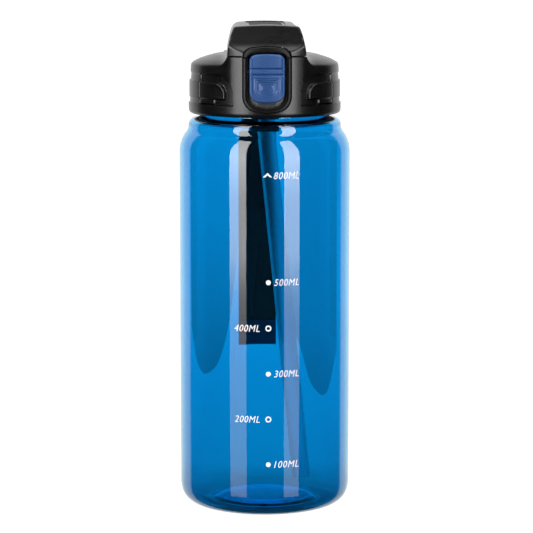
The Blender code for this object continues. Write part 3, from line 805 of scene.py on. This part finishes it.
def arch_path(half, foot, top, corner, sag):
    """The upper part of an outline, from the left foot up and over to the right foot."""
    ring = arched(half, foot - 10, top, 1.0, corner, 0.0, sag, 15)
    over = ring[-31:][::-1]
    left = [(-half, z) for z in np.linspace(foot, over[0][1], 4)[:-1]]
    right = [(half, z) for z in np.linspace(over[-1][1], foot, 4)[1:]]
    return left + over + right


arch_section = [(0.0, 31.7), (0.0, 35.9), (0.05, 36.2), (0.14, 36.36), (0.5, 36.45), (0.86, 36.4),
                (0.95, 36.25), (1.0, 35.95), (1.0, 31.2)]
arch = band(arch_path(8.95, 216.6, 218.6, (3.4, 1.4), 0.5),
            arch_path(11.0, 216.6, 221.2, (5.6, 3.6), 0.5), arch_section, lean=0.25)
backing = prism(arched(10.9, 216.8, 221.0, 0.2, (5.6, 3.5), 0.0, 0.5), -31.8, -29.9, "Y")
ledge = block((-5.5, -31.2, 214.7), (5.5, -29.9, 217.5))
fit(piece("catch_arch", trim_black, arch, backing, ledge), "cover", "black_shell", "catch_plate")

# %% [markdown]
# ## The flip cover
# The cover is a hollow hood: a concave front that sweeps up from the lid, slightly leaning sides, a
# crowned roof and a sloping back. Its level outline changes with height, so the skin is built row by
# row. At each turn the distance to the front, side and back limits is blended, which rounds the
# corners by an amount that one power sets.

# %% Cover skin
HOOD_Y = -2.0
HOOD_STEPS = ((0, 24, 1.5), (24, 44, 0.8), (44, 180, 2.0), (180, 316, 2.0), (316, 336, 0.8),
              (336, 360, 1.5))
hood_turns = np.radians(np.concatenate([np.arange(*step) for step in HOOD_STEPS]))
hood_side = [(216.0, 18.4), (218.7, 18.25), (221.5, 17.8), (224.3, 17.15), (227.2, 16.35),
             (229.2, 15.6), (231.5, 14.8)]
hood_front = [(216.0, 36.0), (217.5, 35.4), (219.2, 33.7), (221.2, 31.7), (223.6, 30.0),
              (226.4, 29.0), (229.0, 28.6), (231.5, 28.4)]
hood_back = [(216.0, 30.8), (218.2, 30.4), (219.3, 28.9), (224.5, 25.0), (230.3, 20.0), (231.5, 17.5)]
hood_lines = [np.array(flow(line, 6)) for line in (hood_side, hood_front, hood_back)]
print("hood:", len(hood_turns), "columns, widest", 2 * hood_side[0][1], "mm")

# %% Walls and roof of the cover


def hood_reach(turn, z, inset):
    """Distance from the cover's middle axis to its wall."""
    side, front, back = (np.interp(z, line[:, 0], line[:, 1]) - inset for line in hood_lines)
    away, ahead = np.abs(np.sin(turn)) + 1e-6, np.cos(turn)
    to_side = side / away
    to_end = np.where(ahead > 0, front + HOOD_Y, back - HOOD_Y) / (np.abs(ahead) + 1e-6)
    along = -ahead * HOOD_Y
    to_arc = -along + np.sqrt(along**2 + (PANEL_R - inset) ** 2 - HOOD_Y**2)
    power = np.where(ahead > 0, 180.0, 7.0)
    limits = np.stack([to_side, to_end, np.where(ahead > 0, to_arc, 1e3)]) / 30
    return 30 * (limits**-power).sum(0) ** (-1 / power)


def roof_height(x, y, inset):
    """The roof: crowned across, and lower towards its front and back edges."""
    return 231.25 - 0.45 * ease(10, 28, -y) - 0.8 * (x / 16) ** 2 - 0.5 * ease(8, 18, y) - inset


def hood_rows(inset, foot):
    """Rows from the foot of the wall up to the middle of the roof."""
    from_front = np.degrees(np.abs((hood_turns + pi) % tau - pi))
    corner = 0.9 + 2.9 * ease(26, 44, from_front) - 1.2 * ease(120, 160, from_front)
    edge = hood_reach(hood_turns, 229.5, inset) - corner
    roof = roof_height(edge * np.sin(hood_turns), HOOD_Y - edge * np.cos(hood_turns), inset)
    made = []

    def add(reach, height):
        deep = HOOD_Y - reach * np.cos(hood_turns)
        taper = 1 - 0.04 * ease(-34, 24, deep)
        made.append(np.stack([reach * np.sin(hood_turns) * taper, deep,
                              np.broadcast_to(height, reach.shape)], axis=-1))

    add(hood_reach(hood_turns, foot, inset) - (0.3 if inset == 0 else 0), foot)
    start = foot + 0.25
    for share in np.linspace(0, 1, 26):
        height = start + (roof - corner - start) * share
        add(hood_reach(hood_turns, height, inset), height)
    for angle in np.linspace(0, pi / 2, 9)[1:]:
        height = roof - corner + corner * sin(angle)
        add(hood_reach(hood_turns, height, inset) - corner * (1 - cos(angle)), height)
    x, y = made[-1][:, 0], made[-1][:, 1] - HOOD_Y
    last = made[-1][:, 2]
    for share in (0.96, 0.88, 0.76, 0.6, 0.42, 0.24, 0.1, 0.0):
        flat = roof_height(x * share, HOOD_Y + y * share, inset)
        drift = (last - roof_height(x, HOOD_Y + y, inset)) * max(0, (share - 0.6) / 0.4)
        made.append(np.stack([x * share, HOOD_Y + y * share, flat + drift], axis=-1))
    return made


# %% Join the skins and cut the seats
HOOD_WALL, HOOD_FOOT = 1.8, 216.75
hood = hood_rows(HOOD_WALL, HOOD_FOOT)[::-1] + hood_rows(0.0, HOOD_FOOT)
cover = piece("flip_cover_hood", satin_black, skin(np.array(hood)))
seat = arched(11.35, 200, 221.55, 1.0, (5.8, 3.8), 0.0, 0.5)
notches = [block(low, high) for low, high in (
    ((9.3, 26.4, 200), (16, 45, 219.9)), ((-16, 26.4, 200), (-9.3, 45, 219.9)),
    ((-4.2, 25.0, 200), (4.2, 45, 218.9)))]
recess = prism(arched(9.0, -24.0, 12.0, 2.5, 2.5), 230.35, 240, "Z")
carve(cover, prism(seat, -45, -29.6, "Y"), *notches, recess)
knuckles = [prism(eye(HINGE_Y, HINGE_Z, EYE_R, 217.0)[2:], *sorted((side * 4.2, side * 9.3)), "X")
            for side in (-1, 1)]
arms = [block((low, 25.6, 217.0), (high, HINGE_Y, 218.1)) for low, high in ((-9.0, -4.5), (4.5, 9.0))]
fit(cover, "cover", "black_shell", "flip_cover")
fit(soften(piece("cover_knuckles", satin_black, *knuckles, *arms), 0.2), "cover", "black_shell")

# %% [markdown]
# ### Grip ribs on the roof
# The shallow recess on top holds a row of low ribs for the thumb. They are the same bar repeated at
# an even step: a point line with one swept bar at each point.

# %% Rib tree
rib_sizes = {"Half Length": 7.6 * MM, "Bar": 0.55 * MM, "Step": 6.0 * MM, "Front": -18.0 * MM,
             "Height": 230.25 * MM}
rib_tree, entry, leave = grower("grip_ribs", rib_sizes)
make = rib_tree.nodes.new
link = rib_tree.links.new
bar_ends = []
for sign in (-1, 1):
    flip = make("ShaderNodeMath")
    flip.operation = "MULTIPLY"
    flip.inputs[1].default_value = sign
    link(entry.outputs["Half Length"], flip.inputs[0])
    bar_ends.append(arrow(rib_tree, X=flip.outputs[0]))
bar = make("GeometryNodeCurvePrimitiveLine")
link(bar_ends[0], bar.inputs["Start"])
link(bar_ends[1], bar.inputs["End"])
line = make("GeometryNodeMeshLine")
line.inputs["Count"].default_value = 5
first = arrow(rib_tree, Y=entry.outputs["Front"], Z=entry.outputs["Height"])
link(first, line.inputs["Start Location"])
link(arrow(rib_tree, Y=entry.outputs["Step"]), line.inputs["Offset"])
stand = make("GeometryNodeInstanceOnPoints")
link(line.outputs["Mesh"], stand.inputs["Points"])
link(sweep(rib_tree, bar.outputs["Curve"], entry.outputs["Bar"], 16), stand.inputs["Instance"])
close_tree(rib_tree, leave, stand.outputs["Instances"], satin_black)
fit(grow("cover_grip_ribs", rib_tree, rib_sizes), "cover", "black_shell")

# %% [markdown]
# ## The push button
# The button is a curved rocker plate. Its face carries everything that is seen: rounded edges, two
# thin raised lines, two level grooves and a dished pad with faint contour steps. All of them are
# small depths, so the face is a fine grid whose depth is the sum of those features.

# %% Button face
HALF, LOW, HIGH = 8.25, 195.4, 217.9
FACE_R, BACK_R, EDGE_ROUND = 36.7, 35.05, 0.75


def corner_rise(x, radius):
    """How much a round corner takes off the button's height at x."""
    over = np.clip(np.abs(x) - (HALF - radius), 0, radius)
    return radius - np.sqrt(radius**2 - over**2)


def button_depth(x, z, low, high):
    """How far the face lies behind a plain cylinder."""
    edge = np.minimum(HALF - np.abs(x), np.minimum(z - low, high - z))
    near = np.clip(EDGE_ROUND - edge, 0, EDGE_ROUND)
    depth = EDGE_ROUND - np.sqrt(EDGE_ROUND**2 - near**2)
    clear = ease(1.2, 1.8, z - low) * ease(0.6, 1.2, high - z)
    depth -= 0.3 * np.exp(-((np.abs(x) - 7.0) / 0.22) ** 2) * clear
    for groove in (211.1, 208.4):
        depth += 0.55 * np.exp(-((z - groove) / 0.32) ** 2) * (1 - ease(7.2, 7.6, np.abs(x)))
    pad = -area(x, z, (-6.3, 6.3), (197.0, 207.4), (0.6, 4.8, 0.6, 4.8))
    depth += 0.6 * ease(0, 3.6, pad)
    return depth + 0.1 * np.cos(pad * tau / 0.95) * ease(0.2, 0.6, pad)


# %% Button plate, ears and hook
shares = np.linspace(-1, 1, 61)
face_x = HALF * np.sin(shares * pi / 2) * 0.9999
low_z = LOW + 0.9 * (face_x / HALF) ** 2 + corner_rise(face_x, 4.4)
high_z = HIGH - 0.7 * (face_x / HALF) ** 2 - corner_rise(face_x, 2.8)
climb = np.concatenate([np.linspace(0, 0.05, 6), np.linspace(0.06, 0.94, 100),
                        np.linspace(0.95, 1, 6)])
rows = []
for share in climb:
    z = low_z + (high_z - low_z) * share
    front = -np.sqrt(FACE_R**2 - face_x**2) + button_depth(face_x, z, low_z, high_z)
    back = -np.sqrt(BACK_R**2 - face_x**2)
    ahead = np.stack([face_x, front, z], axis=-1)
    behind = np.stack([face_x, back, z], axis=-1)[::-1]
    rows.append(np.concatenate([ahead, behind]))
plate = skin(np.array(rows), caps=True)
ears = []
for side in (-1, 1):
    low, high = sorted((side * 4.3, side * 7.9))
    ears.append(prism(bend((-31.6, 209.7), 1.9, 0, tau * 23 / 24, 24), low, high, "X"))
    ears.append(block((low + 0.3, -35.0, 208.1), (high - 0.3, -31.6, 211.3)))
hook = block((-5.5, -35.2, 216.4), (5.5, -31.95, 217.3))
fit(piece("rocker_button", button_blue, plate, *ears, hook), "button", "button_blue", "push_button")

# %% [markdown]
# ## Drinking parts
# Under the cover a soft nozzle sits on the deck, held by a snap ring, and a plug in the cover closes
# it. A sleeve under the deck holds the straw, a stiff clear tube that leans to one side of the base.
# All but the straw are turned; the straw is a tube whose rings follow a gently bent line.

# %% Turned soft parts


def turned(name, material, profile, body, slot, *stands_for, steps=64, shift=0.0, ring=True):
    """A piece turned about the bottle's axis, or about a line shifted towards the back."""
    grid = round_grid(profile, steps)
    grid[..., 1] += shift
    made = piece(name, material, skin(grid, ring=ring))
    return fit(made, body, slot, *stands_for)


nozzle_out = flow([(3.4, 226.15), (4.4, 226.1), (5.5, 225.6), (6.2, 224.5), (6.1, 223.0),
                   (5.7, 221.5), (6.0, 218.5), (6.6, 214.5), (7.4, 211.0), (7.7, 209.4)], 5)
nozzle = nozzle_out + [(7.9, 208.8), (8.3, 208.55), (9.0, 208.5), (9.0, 207.2), (6.3, 207.2),
                       (6.3, 209.8), (3.1, 209.8), (3.1, 225.8)]
turned("soft_nozzle", soft_clear, nozzle, "lid", "clear_silicone", "mouthpiece")
snap = [(8.4, 210.1), (8.5, 210.2), (10.6, 210.2)] + bend((10.6, 209.6), 0.6, pi / 2, 0, 6)
snap += [(11.2, 207.2), (9.3, 207.2), (9.3, 208.8), (8.4, 208.8)]
turned("nozzle_ring", inner_black, snap, "lid", "black_inner", "spout_collar")
sleeve = [(5.5, 204.6), (7.0, 204.6), (7.0, 199.0), (7.35, 198.6), (7.35, 197.6), (7.0, 197.2),
          (7.0, 181.2), (6.9, 180.8), (6.4, 180.0), (5.3, 180.0), (5.3, 190.0), (4.5, 191.0),
          (4.5, 195.4), (5.5, 195.7)]
turned("straw_sleeve", soft_dark, sleeve, "lid", "dark_silicone", "straw_adapter")
valve = [(0, 208.3), (2.0, 208.28), (3.0, 208.1), (3.6, 207.6), (3.6, 207.2), (1.5, 207.2),
         (1.5, 204.5), (2.5, 203.9), (2.3, 203.3), (1.2, 202.4), (0, 202.2)]
turned("air_valve", soft_clear, valve, "lid", "clear_silicone", "vent_valve", shift=18.0, ring=False)
plug = [(0, 229.3), (8.4, 229.3), (8.4, 228.8), (6.3, 228.8), (6.3, 226.6), (6.1, 226.35),
        (5.9, 226.3), (2.5, 226.3), (2.2, 226.1), (1.9, 225.6), (1.4, 225.42), (0, 225.4)]
turned("nozzle_plug", soft_dark, plug, "cover", "dark_silicone", "spout_plug", ring=False)
seal = bend((28.85, 203.95), (1.1, 0.62), 0, tau * 31 / 32, 32)
turned("neck_seal", soft_dark, seal, "seal", "dark_silicone", "neck_gasket", steps=128)

# %% Straw
STRAW_R, STRAW_WALL = 4.2, 0.9
STRAW_TOP, BEND_TOP, BEND_LENGTH, STRAW_FOOT = 195.0, 190.0, 8.0, 12.0
lean = 17.7 / (186.0 - STRAW_FOOT)
path = [(0.0, STRAW_TOP), (0.0, BEND_TOP)]
for t in (0.2, 0.4, 0.6, 0.8, 1):
    path.append((lean * BEND_LENGTH * t * t / 2, BEND_TOP - BEND_LENGTH * t))
bend_x, bend_z = path[-1]
path += [(bend_x + lean * (bend_z - z), z) for z in np.linspace(bend_z, STRAW_FOOT, 12)[1:]]
rings = {STRAW_R: [], STRAW_R - STRAW_WALL: []}
around = np.linspace(0, tau, 40, endpoint=False)
for i, (x, z) in enumerate(path):
    before, after = path[max(i - 1, 0)], path[min(i + 1, len(path) - 1)]
    run, fall = after[0] - before[0], before[1] - after[1]
    length = np.hypot(run, fall)
    for radius, made in rings.items():
        made.append(np.stack([x + radius * np.cos(around) * fall / length, radius * np.sin(around),
                              z + radius * np.cos(around) * run / length], axis=-1))
outer, core = rings.values()
straw = piece("drinking_straw", tube_blue, skin(np.array(outer + core[::-1]), ring=True))
fit(straw, "lid", "straw_blue", "straw")

# %% [markdown]
# ## Pieces that keep their CAD shape
# The threaded inner cap, the cover's liner, the pins and the springs are seen only when the lid is
# open or off, and their CAD shapes are already right. They get a finish and nothing else.

# %% Finishes for the CAD pieces
for material, names in ((inner_black, ("lid_core", "cover_liner")),
                        (spring_steel, ("hinge_pin", "button_pin", "hinge_spring",
                                        "button_spring"))):
    for name in names:
        nodes[name].data.materials.clear()
        nodes[name].data.materials.append(material)
        print(name, "keeps its shape in", material.name)

# %% [markdown]
# ## Studio
# The bottle stands on a plain pale floor in even white light. Clear plastic shows its surroundings,
# so each of them is chosen. The floor glows white to the eye and melts into the white wall. Light
# that comes through the plastic finds a painted shade in the floor's glow: grey close to the
# bottle, which deepens the blue at the foot. Mirrored light doesn't see it, so the tall strips can
# reach below it.

# %% Floor
FLOOR_HALF = 15
floor_mesh = bpy.data.meshes.new("studio_floor")
floor_corners = [(x * FLOOR_HALF, y * FLOOR_HALF, -0.0001)
                 for x, y in ((-1, -1), (1, -1), (1, 1), (-1, 1))]
floor_mesh.from_pydata(floor_corners, [], [(0, 1, 2, 3)])
floor = new_object("studio_floor", floor_mesh)
paper = bpy.data.materials.new("pale_floor")
paper.use_nodes = True
paper_shader = paper.node_tree.nodes["Principled BSDF"]
dial(paper_shader, Base_Color=(0.12, 0.12, 0.12, 1), Roughness=1.0, Specular_IOR_Level=0.0,
     Emission_Color=(1, 1, 1, 1))
parts = paper.node_tree.nodes
joins = paper.node_tree.links
spot = parts.new("ShaderNodeTexCoord")
axes = parts.new("ShaderNodeSeparateXYZ")
joins.new(spot.outputs["Object"], axes.inputs["Vector"])
# For light other than the eye's, the floor's glow is a painted shade: dim in front of and close to the
# bottle, brighter behind it.
glow_with_painted_shade = parts.new("ShaderNodeMath")
for i, (near, far, dark, bright) in enumerate(((-0.01, 0.09, 0.04, 0.62), (0.08, 0.6, 0.0, 0.42))):
    climb = parts.new("ShaderNodeMapRange")
    dial(climb, From_Min=near, From_Max=far, To_Min=dark, To_Max=bright)
    joins.new(axes.outputs["Y"], climb.inputs["Value"])
    joins.new(climb.outputs["Result"], glow_with_painted_shade.inputs[i])
seen = parts.new("ShaderNodeLightPath")
level = parts.new("ShaderNodeMix")
level.inputs[3].default_value = 1.0
joins.new(seen.outputs["Is Camera Ray"], level.inputs[0])
joins.new(glow_with_painted_shade.outputs[0], level.inputs[2])
joins.new(level.outputs[0], paper_shader.inputs["Emission Strength"])
floor_mesh.materials.append(paper)
floor.visible_glossy = False
print(floor.name, 2 * FLOOR_HALF, "m across")

# %% [markdown]
# ### The room
# A world shader is a room without walls: it gives each direction a brightness. It is even for the
# eye and for soft light. Mirrored and bent light see a dark room in front, which keeps the colours
# deep, and a white wall behind, which whitens the rims of the clear plastic.

# %% World
world = bpy.data.worlds.new("studio")
bpy.context.scene.world = world
world.use_nodes = True
sky = world.node_tree.nodes
wires = world.node_tree.links
sky.clear()
direction = sky.new("ShaderNodeTexCoord")
split = sky.new("ShaderNodeSeparateXYZ")
wires.new(direction.outputs["Generated"], split.inputs["Vector"])


def by_direction(low, high, dark, bright):
    """Dark towards the front of the room and bright towards the wall behind the bottle."""
    level = sky.new("ShaderNodeMapRange")
    level.interpolation_type = "SMOOTHSTEP"
    dial(level, From_Min=low, From_Max=high, To_Min=dark, To_Max=bright)
    wires.new(split.outputs["Y"], level.inputs["Value"])
    return level.outputs["Result"]


def unless(before, kind, then):
    """One strength for most light paths and another for paths of one kind."""
    choose = sky.new("ShaderNodeMix")
    for socket, source in ((0, kind), (2, before), (3, then)):
        if isinstance(source, float):
            choose.inputs[socket].default_value = source
        else:
            wires.new(source, choose.inputs[socket])
    return choose.outputs[0]


WHITE_WALL = 1.12
path_kind = sky.new("ShaderNodeLightPath").outputs
strength = unless(WHITE_WALL, path_kind["Is Diffuse Ray"], 0.98)
strength = unless(strength, path_kind["Is Glossy Ray"], by_direction(0.5, 0.6, 0.02, 1.15))
strength = unless(strength, path_kind["Is Transmission Ray"],
                  by_direction(-0.1, 0.2, 0.25, WHITE_WALL))
glow = sky.new("ShaderNodeBackground")
dial(glow, Color=(1, 1, 1, 1))
wires.new(strength, glow.inputs["Strength"])
out = sky.new("ShaderNodeOutputWorld")
wires.new(glow.outputs["Background"], out.inputs["Surface"])
print("world nodes:", len(sky))

# %% [markdown]
# ### Lights and cards
# Three soft boxes light the black lid. Two tall strips in front are seen only in mirrored light, and
# draw the long highlights on the round wall. Two grey cards behind are seen only through the plastic,
# and give its sides their deeper blue with a round lower end.

# %% Soft boxes


def softbox(name, azimuth, distance, height, width, tall, power, aim=0.11):
    """A rectangular light at an azimuth from the front, turned towards the bottle."""
    lamp = bpy.data.lights.new(name, "AREA")
    lamp.shape = "RECTANGLE"
    lamp.size = width
    lamp.size_y = tall
    lamp.energy = power
    made = new_object(name, lamp)
    turn = radians(azimuth)
    made.location = (distance * sin(turn), -distance * cos(turn), height)
    to_bottle = Vector((0, 0, aim)) - made.location
    made.rotation_euler = to_bottle.to_track_quat("-Z", "Y").to_euler()
    made.visible_camera = False
    made.visible_transmission = False
    return made


front_fill = softbox("front_fill", 0, 1.2, 0.4, 0.9, 0.9, 6)
front_fill.visible_glossy = False
softbox("key_left", -37, 1.0, 0.52, 0.35, 0.3, 3, aim=0.2)
softbox("top", 180, 0.1, 1.0, 0.9, 0.6, 7)
print("soft boxes:", [lamp.name for lamp in bpy.data.lights])

# %% Cards that glow


def strip(name, azimuth, distance, low, high, width, levels):
    """A tall glowing card that only mirrored light sees, brighter towards its top."""
    turn = radians(azimuth)
    centre = np.array([distance * sin(turn), -distance * cos(turn)])
    aside = np.array([cos(turn), sin(turn)]) * width / 2
    corners = [(*(centre - aside), low), (*(centre + aside), low), (*(centre + aside), high),
               (*(centre - aside), high)]
    made = glowing_card(name, corners, levels)
    made.visible_transmission = False
    return made


def shade(name, outline, levels):
    """A grey card behind the bottle, seen only through plastic. Its outline is (x, z) in mm."""
    made = glowing_card(name, [(x * MM, SHADE_Y, z * MM) for x, z in outline], levels)
    made.visible_glossy = False
    return made


def glowing_card(name, corners, levels):
    """A flat card whose glow changes with height, from pairs of (height, strength)."""
    low, high = levels[0][0], levels[-1][0]
    mesh = bpy.data.meshes.new(name)
    mesh.from_pydata(corners, [], [tuple(range(len(corners)))])
    made = new_object(name, mesh)
    glow = bpy.data.materials.new(name)
    glow.use_nodes = True
    tree = glow.node_tree
    tree.nodes.clear()
    spot = tree.nodes.new("ShaderNodeTexCoord")
    split = tree.nodes.new("ShaderNodeSeparateXYZ")
    fade = tree.nodes.new("ShaderNodeMapRange")
    ramp = tree.nodes.new("ShaderNodeValToRGB")
    strength = tree.nodes.new("ShaderNodeMath")
    lamp = tree.nodes.new("ShaderNodeEmission")
    out = tree.nodes.new("ShaderNodeOutputMaterial")
    tree.links.new(spot.outputs["Object"], split.inputs["Vector"])
    tree.links.new(split.outputs["Z"], fade.inputs["Value"])
    dial(fade, From_Min=low, From_Max=high)
    brightest = max(level for _, level in levels)
    stops = ramp.color_ramp.elements
    while len(stops) < len(levels):
        stops.new(0.5)
    for stop, (height, level) in zip(stops, levels):
        stop.position = (height - low) / (high - low)
    for stop, (height, level) in zip(stops, levels):
        stop.color = (*(level / brightest,) * 3, 1)
    strength.operation = "MULTIPLY"
    strength.inputs[1].default_value = brightest
    tree.links.new(fade.outputs["Result"], ramp.inputs["Fac"])
    tree.links.new(ramp.outputs["Color"], strength.inputs[0])
    tree.links.new(strength.outputs[0], lamp.inputs["Strength"])
    tree.links.new(lamp.outputs["Emission"], out.inputs["Surface"])
    mesh.materials.append(glow)
    made.visible_camera = False
    made.visible_diffuse = False
    made.visible_shadow = False
    return made


# %% Strips and grey cards
CAMERA_TURN = 1.85
SHADE_Y = 0.15
STRIP_AWAY, STRIP_FOOT, STRIP_TOP = 0.6, -0.2, 0.95
LEVELS = ((STRIP_FOOT, 2.2), (0.0, 2.5), (0.018, 3.2), (0.05, 7.0), (0.09, 7.4), (0.125, 11.5),
          (STRIP_TOP, 9.0))
for name, azimuth, width in (("strip_left", -35.2, 0.24), ("strip_right", 35.8, 0.22)):
    strip(name, azimuth - CAMERA_TURN, STRIP_AWAY, STRIP_FOOT, STRIP_TOP, width, LEVELS)
left_edge = flow([(-52, 62), (-44.5, 44), (-38.5, 36.5), (-33.8, 35), (-27.7, 37.5), (-23.3, 43),
                  (-18, 58), (-14.4, 79), (-10.9, 110), (-9, 170)], 4)
right_edge = flow([(17.3, 170), (17.2, 120), (17.1, 78), (21, 62), (26.7, 49), (33.1, 31),
                   (38.5, 25), (42.8, 23), (47.6, 25), (52.4, 33.5), (60, 48)], 4)
shade("shade_left", left_edge + [(-52, 170)], ((0.035, 0.52), (0.12, 0.95), (0.17, 1.08)))
shade("shade_right", right_edge + [(60, 170)], ((0.023, 0.52), (0.06, 0.7), (0.17, 0.92)))
print("cards: 2 strips and 2 shades")

# %% [markdown]
# ## Camera
# A long lens stands a little above the bottle and looks slightly down, which keeps the sides of the
# bottle nearly parallel and shows a thin slice of the roof.

# %% Camera
CAMERA_AWAY, CAMERA_UP, LOOK_DOWN = 1.2189, 0.2883, 8.12
lens = bpy.data.cameras.new("camera")
lens.sensor_width = 36
lens.lens = 173.9
lens.shift_x = 0.0034
camera = new_object("camera", lens)
turn = radians(CAMERA_TURN)
camera.location = (-CAMERA_AWAY * sin(turn), -CAMERA_AWAY * cos(turn), CAMERA_UP)
camera.rotation_euler = (radians(90 - LOOK_DOWN), 0, -turn)
bpy.context.scene.camera = camera
bpy.context.scene.view_settings.view_transform = "Standard"
print("camera", round(lens.lens, 1), "mm lens,", CAMERA_AWAY, "m away")

# %% Update the scene
bpy.context.view_layer.update()
